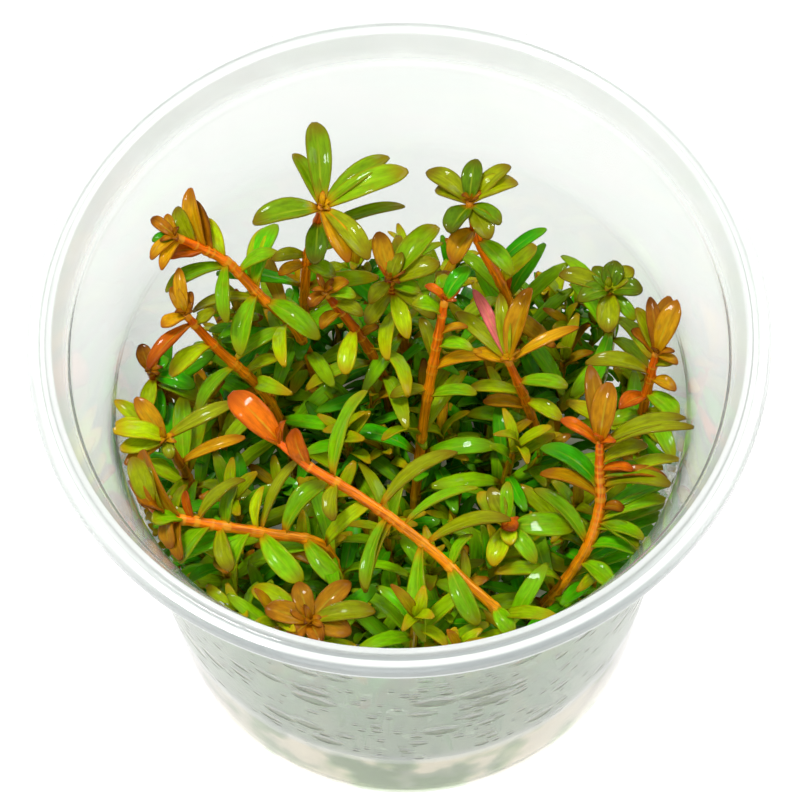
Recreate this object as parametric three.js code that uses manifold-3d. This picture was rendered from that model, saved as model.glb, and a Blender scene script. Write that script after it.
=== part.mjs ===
// Orange juice rotala grown on clear gel in an open tissue-culture cup.
// Millimetres, +Z up. The origin is the middle of the cup's underside, and the front of the cup faces -Y.
import * as THREE from "three";
import { mergeVertices } from "three/addons/utils/BufferGeometryUtils.js";
import Module from "manifold-3d";

const wasm = await Module();
wasm.setup();

// Driving sizes of the cup
const cupHeight = 86;
const rimRadius = 50;
const shoulderHeight = 72;
const shoulderRadius = 41.6;
const baseRadius = 36.6;
const baseCorner = 3;
const wall = 0.95;
const floorTop = 2.2;
const ledgeHeight = 80.4;
const seatInner = 45;
const lipRadius = 46.7;
const skirtDepth = 2.4;
const roundSegments = 36;

// Driving sizes of the gel and of what stands in it
const gelTop = 19;
const gap = 0.3;
const footHeight = 13;
const socketRadius = 1.9;
const socketSides = 4;

// Driving sizes of the plants
const heroStemRadius = 0.75;
const greenStemRadius = 0.65;
const stemSides = 5;
const leafBulge = 0.1;
const leafThickness = 0.5;
const leafClearance = 0.25;
const wallClearance = 0.6;
const rootDepth = 0.7;
const greenStemCount = 34;
const greenFieldRadius = 33;
const greenSpacing = 4.6;
const goldenAngle = 137.508;
const pairSpacing = 4;
const leafLength = 11.5;
const leafWidth = 2.5;

const colours = {
  cup: 0xeef2f1,
  gel: 0xe9e4cf,
  orange: 0xc8641e,
  olive: 0x7d8a1e,
  green: 0x4f9a1c,
};

// Shoots that stand out from the mass. Each has its foot on the gel, the points of its stem above
// the gel, and its longer upper leaves: distance from the stem's tip, then the leaf's reach to the
// right, to the back and up, then its width. Below bareFrom the stem carries ordinary leaves.
const shoots = [
  {
    name: "stem_long_orange",
    colour: "orange",
    foot: [15, -29],
    points: [
      [14.5, -30.5, 46], [12.5, -30, 57], [8, -26.5, 60], [3, -22, 62], [-6, -16, 66],
      [-13.5, -12.5, 70], [-17, -10, 72],
    ],
    leaves: [
      [0, -6.5, 6, 4.5, 4.2], [9.5, 4.5, 11.5, 5, 2.8], [17, 10.5, 7, 4.5, 2.8],
      [19.5, -4.5, -10, -1, 2.6], [18.5, -3.5, -10.5, -0.5, 2.2], [21, 10.5, 4.5, 3, 2],
      [25, 11.5, 3.5, 2.5, 2.6], [24.5, -0.5, -13.5, -3, 3], [29.5, 3.5, -8.5, -0.5, 3],
    ],
    bareFrom: 40,
  },
  {
    name: "stem_low_orange",
    colour: "orange",
    foot: [-9, -21],
    points: [
      [-9.5, -20.5, 46], [-12, -19, 57.5], [-20, -19, 62], [-28, -19, 66], [-33.5, -18.5, 68.5],
      [-35.5, -16, 71.5],
    ],
    leaves: [
      [3, -2.5, 5, 5, 3], [7.5, -5, 7.5, 6, 3.8], [5.5, -2.5, 6.5, 5.5, 2.6], [10, 6.5, 5, 3, 2.4],
      [19, 1, 5.5, 3, 1.8], [19.5, 5, 9.5, 4.5, 1.8], [23, 5.5, 6.5, 4, 3.2], [6, -2, -6, 0, 3],
      [7.5, -1, -6.5, -0.5, 2.2], [12, -5, -6, -0.5, 3.4], [13.5, 1, -6.5, -0.5, 2.6],
      [19.5, 5.5, -7.5, -0.5, 3.4], [26, 5, -7, -0.5, 3],
    ],
    bareFrom: 30,
  },
  {
    name: "stem_right_curve",
    colour: "orange",
    foot: [17, -22],
    points: [
      [19, -23.5, 42], [22, -23, 50], [25.5, -20.5, 58], [27, -17, 62], [27, -12.5, 68],
      [27, -11, 71],
    ],
    leaves: [
      [0, 1.5, 7, 5, 3.2], [0, -5, 2.5, 3.5, 2.2], [1, -1, 9.5, 6, 2.6], [2, 12.5, 2.5, 4, 2],
      [1, 11, 2, 3.5, 2.6], [7.5, 11.5, -2.5, 2, 2.8], [6.5, 9, -0.5, 2, 2],
      [9.5, -8, 3, 3.5, 2.4], [17, -6.5, 7.5, 4.5, 2.4], [8, -7.5, 6, 3, 3.2],
      [13, 5.5, -4.5, 0.5, 3], [4, 6.5, 2, 2, 2.6], [6, 7.5, 0, 0.5, 3],
    ],
    bareFrom: 25,
  },
  {
    name: "stem_centre",
    colour: "orange",
    foot: [1, -5],
    points: [[1.5, -4, 36], [3.2, 2.5, 52], [5.3, 7.8, 65], [6.6, 10.8, 73]],
    leaves: [
      [12, -1.5, 5.5, 3.5, 2], [13.5, 8, 1, 3, 2.2], [18.5, 7, -0.5, 2, 2.2],
    ],
    bareFrom: 26,
  },
  {
    name: "stem_upper_left",
    colour: "orange",
    foot: [-12, 13],
    points: [
      [-12.5, 13.5, 44], [-15, 15, 58], [-19.5, 17, 64], [-24, 19.5, 70], [-27.5, 20, 73.5],
      [-31, 20, 77],
    ],
    leaves: [
      [7, -2.5, 6, 4.5, 3.4], [6, -2, 6.5, 6, 2.6], [9.5, -2.5, 5, 3.5, 3],
      [10, -0.5, -9, -0.5, 2.2], [12.5, 5.5, 2.5, 2, 2.4], [17, 1, 8.5, 4, 2.8],
      [11, -9.5, -3, 0.5, 2.6], [19, -10.5, -1, 1, 2], [17, -3, -9, -1, 3],
      [19, 7.5, -6, 0.5, 3.2],
    ],
    bareFrom: 24,
  },
  {
    name: "stem_left_up",
    colour: "orange",
    foot: [-16, 5],
    points: [[-17, 6, 40], [-20, 8, 52], [-26, 10, 62], [-30, 11.5, 70]],
    leaves: [
      [0, -1, 5.5, 4, 2], [2.5, -6.5, -6.5, -0.5, 2.4], [8, -6, -5, 0.5, 2.8],
      [13, 7.5, 4, 3, 2.2], [14, -6, -6.5, -0.5, 2.4],
    ],
    bareFrom: 20,
  },
  {
    name: "stem_tall_left",
    colour: "orange",
    foot: [-14, 21],
    points: [[-14, 20, 45], [-13.5, 19.5, 58], [-12.5, 20, 70], [-10, 21.5, 81.5]],
    leaves: [
      [0, -0.5, 9.5, 5, 3.6], [0.5, -3.5, 6.5, 3, 2.4], [0.5, -9.5, -1.5, 2, 3.6],
      [0, 8.5, 6, 3, 3], [0, 11.5, 4, 3.5, 3.6], [5, 16.5, 3, 1, 3.2], [0.5, 3.5, -8.5, 0, 3.2],
      [0.5, 6.5, -8, 0, 3.2], [3.5, -0.5, -6.5, 0, 3.2],
    ],
    bareFrom: 20,
  },
  {
    name: "stem_tall_right",
    colour: "orange",
    foot: [18, 19],
    points: [[18, 19, 42], [16, 18, 58], [14.2, 17.6, 67], [11.5, 18.3, 76], [10.3, 21, 82.5]],
    leaves: [
      [0, -5.5, 3.5, 2.5, 3], [0.5, 5.5, 4, 3, 3], [0.5, 6, 2, 2, 3.4], [7, 4.5, -5.5, 0, 2.8],
      [15, 7.5, 4.5, 3.5, 2], [19, 5, 4.5, 3, 3.2],
    ],
    bareFrom: 25,
  },
  {
    name: "stem_dark_back",
    colour: "olive",
    foot: [1, 16],
    points: [[1, 16.5, 45], [-1, 16.5, 69]],
    leaves: [
      [0.5, -1.5, 5.5, 4.5, 3], [1, 7, 1.5, 2.5, 3.2], [4, 2, -7, -0.5, 2.6], [3, 6, -4.5, 0, 2.6],
    ],
    bareFrom: 9,
  },
  {
    name: "stem_right_back",
    colour: "orange",
    foot: [20, 3],
    points: [[20, 4, 40], [18, 5, 52], [15.2, 6.5, 62.5]],
    leaves: [
      [0, 3.5, 8.5, 6, 3.2], [0.5, -4.5, 9.5, 4.5, 2.4], [0.5, -7, 6.5, 3.5, 2.6],
      [1, -1, 8.5, 5, 2.2], [1, 10, 4, 3, 1.8], [9, -7.5, 0.5, 2, 2.2], [13, -6.5, 0.5, 2, 2.2],
      [18, -9.5, 1.5, 2.5, 2.6], [6, 7, -1.5, 1.5, 2.4],
    ],
    bareFrom: 22,
  },
  {
    name: "stem_back_right_green",
    colour: "green",
    foot: [29, 16],
    points: [[31, 16.5, 48], [30, 15, 66.5]],
    leaves: [
      [0, -7, 1.5, 2, 2.8], [1, -0.5, -6.5, 0, 3.4],
    ],
    bareFrom: 10,
  },
  {
    name: "stem_far_right",
    colour: "orange",
    foot: [31, 1],
    points: [[34, 1.5, 42], [35, 2.5, 58], [36, 4.5, 67]],
    leaves: [
      [0, -0.5, 6, 5, 2], [0, 1.5, 6, 5, 3], [0.5, 3.5, 5, 5.5, 3.2], [0.5, -2.5, 5.5, 4, 2.4],
      [5, -9, 1, 3.5, 2.6],
    ],
    bareFrom: 22,
  },
  {
    name: "stem_front_star",
    colour: "olive",
    foot: [-12, -29],
    points: [[-13, -31, 46], [-13.5, -32, 61]],
    leaves: [
      [0, 5.5, 5, 2.5, 3], [0.5, 9, 0.5, 2, 2.8], [0.5, -6, 1.5, 2, 3.2], [2.5, -8, 6, 0.5, 3.2],
    ],
    bareFrom: 8,
  },
  {
    name: "stem_left_fan",
    colour: "olive",
    foot: [-28, -3],
    points: [[-31, -3, 45], [-32.5, -5, 60], [-33, -6.5, 67]],
    leaves: [
      [0.5, -6.5, 4.5, 4, 2.4], [0, -3.5, 4, 5, 2.8], [0.5, -6.5, 1.5, 3, 2.8],
      [1, -7.5, -1, 5, 3], [1, -6.5, -3, 3.5, 2.6], [1.5, -6.5, -4.5, 2, 2], [0.5, 10, 4, 3, 2.2],
      [14, 9.5, 2.5, 3, 1.8], [18, 0, 10, 5, 2.8],
    ],
    bareFrom: 20,
  },
  {
    name: "stem_mid_brown",
    colour: "olive",
    foot: [-1, 8],
    points: [[-2.5, 10.5, 50], [-5.3, 11.8, 60], [-10.3, 14.3, 70]],
    leaves: [
      [9, -1.5, -7, -0.5, 2.8],
    ],
    bareFrom: 14,
  },
  {
    name: "stem_small_bud",
    colour: "green",
    foot: [12, -14],
    points: [[14, -16, 48], [14, -18, 60]],
    leaves: [
      [2, 9.5, -0.5, 1.5, 3.6], [1.5, -2, -6, 0.5, 3], [1.5, 4, -5.5, 0, 2.6],
      [16, 6.5, -2.5, 1.5, 2.4],
    ],
    bareFrom: 18,
  },
  {
    name: "stem_left_back",
    colour: "olive",
    foot: [-31, 10],
    points: [[-34, 10.5, 42], [-36, 9.5, 57]],
    leaves: [
      [2.5, 6, -2, 1, 2.6], [5, 6, -3.5, 1.5, 2.8],
    ],
    bareFrom: 8,
  },
];

// One number sequence per stem, so that every stem keeps its leaves when another one changes
function numberSequence(seed) {
  let state = (seed * 7919 + 12345) >>> 0;
  const next = () => {
    state = (Math.imul(state, 1664525) + 1013904223) >>> 0;
    return state / 2 ** 32;
  };
  next();
  next();
  return next;
}

// Inner radius of the cup at a height, up to where the lid's seat begins
function insideRadius(z) {
  const slope = (shoulderRadius - baseRadius) / (shoulderHeight - baseCorner);
  const flare = 0.4;
  const straight = baseRadius - wall + slope * (Math.min(z, shoulderHeight) - baseCorner);
  return straight + flare * Math.max(0, z - shoulderHeight);
}

// Solids from geometry, and back
function solidOf(geometry) {
  geometry.deleteAttribute("normal");
  geometry.deleteAttribute("uv");
  const merged = mergeVertices(geometry, 1e-4);
  const corners = [];
  for (let i = 0; i < merged.index.count; i += 3) {
    const [a, b, c] = [0, 1, 2].map((k) => merged.index.getX(i + k));
    if (a !== b && b !== c && c !== a) corners.push(a, b, c);
  }
  return new wasm.Manifold(
    new wasm.Mesh({
      numProp: 3,
      vertProperties: merged.attributes.position.array,
      triVerts: new Uint32Array(corners),
    }),
  );
}

function geometryOf(solid) {
  const mesh = solid.getMesh();
  const geometry = new THREE.BufferGeometry();
  geometry.setAttribute("position", new THREE.BufferAttribute(mesh.vertProperties, 3));
  geometry.setIndex(new THREE.BufferAttribute(mesh.triVerts, 1));
  geometry.computeVertexNormals();
  return geometry;
}

function turned(profile) {
  const points = profile.map(([r, z]) => new THREE.Vector2(r, z));
  return new THREE.LatheGeometry(points, roundSegments).rotateX(Math.PI / 2);
}

// Cup: flat foot ring, tapering wall, flared shoulder, seat for a lid, and a flange with a skirt
function cupGeometry() {
  const pushUp = 0.8;
  const footInner = 29;
  const footOuter = 34.4;
  const flareTop = 44.7;
  const underSeat = 45.9;
  const flangeUnder = cupHeight - 1.1;
  const skirtInner = rimRadius - 0.9;
  const skirtBottom = cupHeight - skirtDepth;
  const edge = 0.6;
  return turned([
    [0, pushUp],
    [footInner - 1, pushUp],
    [footInner, 0],
    [footOuter, 0],
    [baseRadius, baseCorner],
    [shoulderRadius, shoulderHeight],
    [flareTop, ledgeHeight - 0.4],
    [underSeat, ledgeHeight + 0.5],
    [lipRadius + 0.8, flangeUnder],
    [skirtInner, flangeUnder],
    [skirtInner, skirtBottom],
    [rimRadius, skirtBottom],
    [rimRadius, cupHeight - edge],
    [rimRadius - edge, cupHeight],
    [lipRadius, cupHeight],
    [seatInner, ledgeHeight + 0.6],
    [seatInner - 1.2, ledgeHeight],
    [shoulderRadius - wall, shoulderHeight],
    [baseRadius - wall, baseCorner + 0.6],
    [baseRadius - 2.2, floorTop],
    [0, floorTop],
  ]);
}

// Gel: a disc that fills the bottom of the cup, with a socket round each stem's foot
function gelSolid(feet) {
  const bottom = floorTop + gap;
  const disc = turned([
    [0, bottom],
    [baseRadius - 2.2 - gap, bottom],
    [insideRadius(baseCorner + 1) - gap, baseCorner + 1],
    [insideRadius(gelTop) - gap, gelTop],
    [0, gelTop],
  ]);
  let solid = solidOf(disc);
  const socketBottom = footHeight - gap;
  const socketTop = gelTop + 1;
  for (const [x, y] of feet) {
    const depth = socketTop - socketBottom;
    const prism = new THREE.CylinderGeometry(socketRadius, socketRadius, depth, socketSides);
    prism.rotateX(Math.PI / 2).translate(x, y, socketBottom + depth / 2);
    solid = solid.subtract(solidOf(prism));
  }
  return solid;
}

// Stems
function stemRoute(foot, points) {
  const start = [
    [foot[0], foot[1], footHeight],
    [foot[0], foot[1], gelTop + 2],
  ];
  const all = [...start, ...points].map((p) => new THREE.Vector3(...p));
  return new THREE.CatmullRomCurve3(all);
}

// The stem's straight steps, which its solid follows and its leaves grow from
function stemSteps(curve, steps) {
  const route = new THREE.CurvePath();
  const points = curve.getSpacedPoints(steps);
  for (let i = 0; i < steps; i++) route.add(new THREE.LineCurve3(points[i], points[i + 1]));
  return route;
}

function stemGeometry(route, radius, steps) {
  const section = new THREE.Shape();
  for (let i = 0; i < stemSides; i++) {
    const angle = (i / stemSides) * 2 * Math.PI;
    const x = radius * Math.cos(angle);
    const y = radius * Math.sin(angle);
    if (i) section.lineTo(x, y);
    else section.moveTo(x, y);
  }
  section.closePath();
  return new THREE.ExtrudeGeometry(section, { steps, extrudePath: route, bevelEnabled: false });
}

// A point on the stem, and the stem's direction there, by distance back from its tip.
// Leaves of the tip start a little inside its end.
function onStem(route, fromTip) {
  const u = 1 - Math.max(fromTip, rootDepth) / route.getLength();
  return { point: route.getPointAt(u), along: route.getTangentAt(u) };
}

// Leaf tips that would pass through the cup's wall are pressed against its inside
function keptInside(point) {
  const limit = insideRadius(point.z) - wallClearance;
  const radius = Math.hypot(point.x, point.y);
  if (radius <= limit) return point;
  const scale = limit / radius;
  return new THREE.Vector3(point.x * scale, point.y * scale, point.z);
}

// The leaf's own axes: along it, across it, and out of its upper face
function leafAxes(leaf) {
  const forward = leaf.tip.clone().sub(leaf.base).normalize();
  const lift = leaf.along.clone().add(new THREE.Vector3(0, 0, 1));
  const upward = lift.addScaledVector(forward, -lift.dot(forward));
  if (upward.length() < 0.2) upward.set(-leaf.base.x, -leaf.base.y, 1);
  upward.addScaledVector(forward, -upward.dot(forward)).normalize();
  upward.applyAxisAngle(forward, leaf.twist);
  const side = upward.clone().cross(forward);
  return { forward, upward, side };
}

// A leaf as a thin closed solid: a point in the stem, one or two keeled sections, and the tip
function leafGeometry(leaf, sections, grow = 0) {
  const { forward, upward, side } = leafAxes(leaf);
  const length = leaf.base.distanceTo(leaf.tip) + grow;
  const corners = [leaf.base.clone()];
  for (const [part, share] of sections) {
    const half = (leaf.width / 2) * share + grow;
    const bulge = leafBulge * length * 4 * part * (1 - part);
    const middle = leaf.base.clone().addScaledVector(forward, part * length).addScaledVector(upward, bulge);
    corners.push(middle.clone().addScaledVector(side, half).addScaledVector(upward, grow));
    corners.push(middle.clone().addScaledVector(side, -half).addScaledVector(upward, grow));
    corners.push(middle.clone().addScaledVector(upward, -leafThickness - grow));
  }
  corners.push(leaf.base.clone().addScaledVector(forward, length));
  const faces = [0, 2, 1, 0, 3, 2, 0, 1, 3];
  for (let ring = 0; ring + 1 < sections.length; ring++) {
    for (let k = 0; k < 3; k++) {
      const a = 1 + ring * 3 + k;
      const b = 1 + ring * 3 + ((k + 1) % 3);
      faces.push(a, b, b + 3, a, b + 3, a + 3);
    }
  }
  const last = 1 + (sections.length - 1) * 3;
  const end = corners.length - 1;
  faces.push(end, last, last + 1, end, last + 1, last + 2, end, last + 2, last);
  const geometry = new THREE.BufferGeometry();
  const flat = corners.flatMap((p) => [p.x, p.y, p.z]);
  geometry.setAttribute("position", new THREE.Float32BufferAttribute(flat, 3));
  geometry.setIndex(faces);
  return { geometry, corners };
}

// Ordinary leaves stand in crossed pairs, close together near the tip and longest further down
function pairedLeaves(route, seed, fromTip, spacing, length, width) {
  const next = numberSequence(seed);
  const turnStart = next() * Math.PI;
  const end = route.getLength() - (gelTop + 3.5 - footHeight);
  const leaves = [];
  for (let pair = 0, s = fromTip; s < end; pair++) {
    const { point, along } = onStem(route, s);
    const reference = Math.abs(along.x) < 0.8 ? new THREE.Vector3(1, 0, 0) : new THREE.Vector3(0, 1, 0);
    const out = reference.addScaledVector(along, -reference.dot(along)).normalize();
    out.applyAxisAngle(along, turnStart + (pair * Math.PI) / 2 + (next() - 0.5) * 0.7);
    const age = Math.min(1, (fromTip + s) / 12);
    for (const sign of [1, -1]) {
      const pitch = (1.2 - 0.75 * age) + (next() - 0.5) * 0.5;
      const reach = length * (0.65 + 0.35 * age) * (0.85 + 0.3 * next());
      const direction = out.clone().multiplyScalar(sign * Math.cos(pitch));
      direction.addScaledVector(along, Math.sin(pitch));
      const tip = keptInside(point.clone().addScaledVector(direction, reach));
      const broad = width * (0.7 + 0.3 * age) * (0.9 + 0.2 * next());
      leaves.push({ base: point, tip, along, width: broad, twist: (next() - 0.5) * 0.8, pair });
    }
    s += spacing * (0.45 + 0.55 * age) * (0.9 + 0.2 * next());
  }
  return leaves;
}

// Leaves of a shoot that are placed one by one
function placedLeaves(route, rows) {
  return rows.map(([fromTip, right, back, up, width]) => {
    const { point, along } = onStem(route, fromTip);
    const tip = keptInside(point.clone().add(new THREE.Vector3(right, back, up)));
    return { base: point, tip, along, width, twist: 0 };
  });
}

// Ordinary green stems: a spiral field of feet, without those that a shoot's stem stands too near
function greenStems() {
  const stems = [];
  for (let i = 0; i < greenStemCount; i++) {
    const next = numberSequence(500 + i);
    const radius = greenFieldRadius * Math.sqrt((i + 0.5) / greenStemCount);
    const angle = THREE.MathUtils.degToRad(i * goldenAngle + 20);
    const foot = [radius * Math.cos(angle), radius * Math.sin(angle)];
    const lean = [(next() - 0.5) * 4, (next() - 0.5) * 4];
    const height = 48 - 0.3 * foot[1] + (next() - 0.5) * 8;
    const near = shoots.some((s) => Math.hypot(s.foot[0] - foot[0], s.foot[1] - foot[1]) < greenSpacing);
    if (near) continue;
    const middle = [foot[0] * 1.03 + lean[0] * 0.3, foot[1] * 1.03 + lean[1] * 0.3, 34];
    const tip = [foot[0] * 1.08 + lean[0], foot[1] * 1.08 + lean[1], height];
    stems.push({ seed: 100 + i, foot, points: [middle, tip] });
  }
  return stems;
}

// Parts of all stems so far, with their boxes, for the search for leaves that would cross
const placed = [];

function crossesOther(solid, owner) {
  const box = solid.boundingBox();
  return placed.some((other) => {
    if (other.owner === owner) return false;
    for (let k = 0; k < 3; k++) {
      if (box.min[k] > other.box.max[k] || box.max[k] < other.box.min[k]) return false;
    }
    return !other.solid.intersect(solid).isEmpty();
  });
}

function place(solid, owner) {
  placed.push({ solid, owner, box: solid.boundingBox() });
  owner.solid = owner.solid ? owner.solid.add(solid) : solid;
}

// A leaf is kept where it clears the gel, the cup and every other stem and leaf
function placeLeaf(leaf, sections, owner) {
  const { corners } = leafGeometry(leaf, sections);
  const clear = corners.slice(1).every(
    (p) => p.z > gelTop + 1 && Math.hypot(p.x, p.y) < insideRadius(p.z) - gap,
  );
  if (!clear) return;
  if (crossesOther(solidOf(leafGeometry(leaf, sections, leafClearance).geometry), owner)) return;
  place(solidOf(leafGeometry(leaf, sections).geometry), owner);
}

function buildStems() {
  const fine = [[0.4, 1], [0.78, 0.8]];
  const coarse = [[0.5, 1]];
  const longLeaf = 7.5;
  const stems = shoots.map((shoot, i) => ({ ...shoot, seed: i + 1, radius: heroStemRadius, steps: 8 }));
  greenStems().forEach((stem, i) => {
    const name = "stem_green_" + String(i + 1).padStart(2, "0");
    stems.push({ ...stem, name, colour: "green", radius: greenStemRadius, steps: 3 });
  });
  for (const stem of stems) {
    const curve = stemRoute(stem.foot, stem.points);
    stem.route = stemSteps(curve, stem.steps);
    const tube = solidOf(stemGeometry(curve, stem.radius, stem.steps));
    if (crossesOther(tube, stem)) throw new Error(stem.name + " crosses another stem");
    place(tube, stem);
  }
  for (const stem of stems.filter((s) => s.leaves)) {
    for (const leaf of placedLeaves(stem.route, stem.leaves)) {
      placeLeaf(leaf, leaf.base.distanceTo(leaf.tip) > longLeaf ? fine : coarse, stem);
    }
  }
  for (const stem of stems) {
    const fromTip = stem.leaves ? stem.bareFrom : 0.3;
    const wanted = stem.leaves ? [1] : [1, 3];
    for (const leaf of pairedLeaves(stem.route, stem.seed, fromTip, pairSpacing, leafLength, leafWidth)) {
      if (wanted.includes(leaf.pair)) placeLeaf(leaf, coarse, stem);
    }
  }
  return stems;
}

function named(name, geometry, colour, roughness) {
  const material = new THREE.MeshStandardMaterial({ color: colour, roughness, metalness: 0 });
  const mesh = new THREE.Mesh(geometry, material);
  mesh.name = name;
  return mesh;
}

const stems = buildStems();
const plant = new THREE.Group();
plant.add(named("cup", cupGeometry(), colours.cup, 0.3));
plant.add(named("agar_gel", geometryOf(gelSolid(stems.map((s) => s.foot))), colours.gel, 0.25));
for (const stem of stems) {
  plant.add(named(stem.name, geometryOf(stem.solid), colours[stem.colour], 0.35));
}

export default plant;
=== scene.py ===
import math

import bmesh
import bpy
import numpy as np
from mathutils import Matrix, Vector


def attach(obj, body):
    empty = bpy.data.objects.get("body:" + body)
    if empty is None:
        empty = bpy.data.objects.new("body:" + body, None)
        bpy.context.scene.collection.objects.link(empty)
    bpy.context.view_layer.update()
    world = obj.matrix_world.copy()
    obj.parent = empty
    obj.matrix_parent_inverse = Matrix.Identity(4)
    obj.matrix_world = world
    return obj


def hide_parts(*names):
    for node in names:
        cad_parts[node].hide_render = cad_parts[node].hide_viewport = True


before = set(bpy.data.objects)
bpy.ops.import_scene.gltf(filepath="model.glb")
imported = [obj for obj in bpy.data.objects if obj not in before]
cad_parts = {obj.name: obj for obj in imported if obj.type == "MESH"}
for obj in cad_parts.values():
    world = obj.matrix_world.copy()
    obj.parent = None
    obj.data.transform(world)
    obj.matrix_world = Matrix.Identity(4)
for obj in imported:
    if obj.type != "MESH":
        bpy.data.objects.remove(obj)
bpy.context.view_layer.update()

# All sizes below are millimetres; meshes are written in metres
MM = 0.001

# Driving sizes of the cup, as in the part's source
CUP_HEIGHT = 86
RIM_RADIUS = 50
SHOULDER_HEIGHT = 72
SHOULDER_RADIUS = 41.6
BASE_RADIUS = 36.6
BASE_CORNER = 3
WALL = 0.95
FLOOR_TOP = 2.2
FLOOR_CORNER = 2.2
LEDGE_HEIGHT = 80.4
SEAT_INNER = 45
LIP_RADIUS = 46.7
SKIRT_DEPTH = 2.4

# The finished cup and gel only: the groove in the rim, and the steps that each is spun in
GROOVE_RADIUS = 47.9
CUP_STEPS = 192
GEL_STEPS = 96

# Driving sizes of the gel and the plants, as in the part's source. An ordinary shoot's leaves
# start FIRST_PAIR_AT from its tip and are full grown at GROWN_AT.
GEL_TOP = 19
FOOT_HEIGHT = 13
HERO_STEM_RADIUS = 0.75
GREEN_STEM_RADIUS = 0.65
LEAF_ARCH = 0.1
ROOT_DEPTH = 0.7
WALL_CLEARANCE = 0.6
GREEN_STEM_COUNT = 34
GREEN_FIELD_RADIUS = 33
GREEN_SPACING = 4.6
GOLDEN_ANGLE = 137.508
PAIR_SPACING = 4
LEAF_LENGTH = 11.5
LEAF_WIDTH = 2.5
GROWN_AT = 12
FIRST_PAIR_AT = 0.3

# The finished leaves only: how near the wall and the gel they press, up to what distance from
# the tip they curl more, how much of the full turn the placed ones have, and their room
PRESSED_GAP = 0.3
GEL_GAP = 0.3
LEAF_HALF_THICKNESS = 0.15
YOUNG_UNTIL = 4
PLACED_TURN = 0.6
ROOM_CELL = 0.8
ROOM_SHARED = 2
WAY_SHARED = 3

# Side shoots and their leaves. A listed shoot has fewer than an ordinary one.
SIDE_SHOOT_LENGTH = 13
SIDE_SHOOT_CLEARANCE = 2.5
SIDE_LEAF_LENGTH = 9.5
SIDE_LEAF_WIDTH = 2.3
SIDE_PAIR_SPACING = 3
PLACED_SIDE_SHOOTS = 2
ORDINARY_SIDE_SHOOTS = 4

# Small drops of condensed water on the wall
SMALL_DROPS = 150

# Where the number sequences start, one for each kind of choice
SEEDS = {
    "drops": 77, "green_leaves": 100, "green_stem": 500, "placed_forms": 2000,
    "ordinary_forms": 3000, "side_forms": 4000, "side_routes": 5000, "side_leaves": 6000,
    "wall_forms": 7000, "wall_leaves": 8000,
}

# Leaves that lie against the wall: only at the front, from outer feet, low down and near the wall
FRONT_FOOT = 8
OUTER_FOOT_RADIUS = 20
WALL_LEAF_TOP = 50
WALL_LEAF_REACH = 9

# Leaf colours by tint: the blade, then its margin and tip
LEAF_COLOURS = {
    "deep": ("#349A02", "#568404"),
    "grass": ("#54AA02", "#748204"),
    "green": ("#6CA202", "#847A04"),
    "moss": ("#6C9002", "#7C6404"),
    "lime": ("#9EB802", "#A47C04"),
    "dark": ("#527402", "#5A5204"),
    "olive": ("#828C02", "#705404"),
    "amber": ("#B88604", "#904C04"),
    "orange": ("#BE5C04", "#8E3A04"),
    "bronze": ("#986804", "#7C4404"),
    "brown": ("#985C02", "#5C2C04"),
    "pink": ("#C0605A", "#8C3C30"),
}
PETIOLE_COLOUR = "#C07C0C"
MIDRIB_COLOUR = "#B4BC28"

# Tints of ordinary leaves that reach the light: the tint and the one it may lean towards, each
# pair up to its share of all leaves
UPPER_TINTS = [
    (0.4, ("grass", "lime")),
    (0.7, ("deep", "grass")),
    (0.86, ("lime", "green")),
    (0.97, ("green", "olive")),
    (1, ("amber", "olive")),
]

# How far a blade leans towards its second tint at most, and how dark and varied the shades are
MOST_LEANING = 0.6
DARKEST_LEAF = 0.8
LEAF_SHADE_SPREAD = 0.4

# Stem colours by kind of shoot: at the foot, in the middle, and at the tip
STEM_COLOURS = {
    "orange": ("#B49804", "#E08C04", "#D85A04"),
    "olive": ("#948404", "#B06A04", "#963E04"),
    "green": ("#6C9C04", "#909404", "#B47C04"),
}
NODE_COLOUR = "#E0AC28"
FLUSH_COLOUR = "#B03E04"

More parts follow.
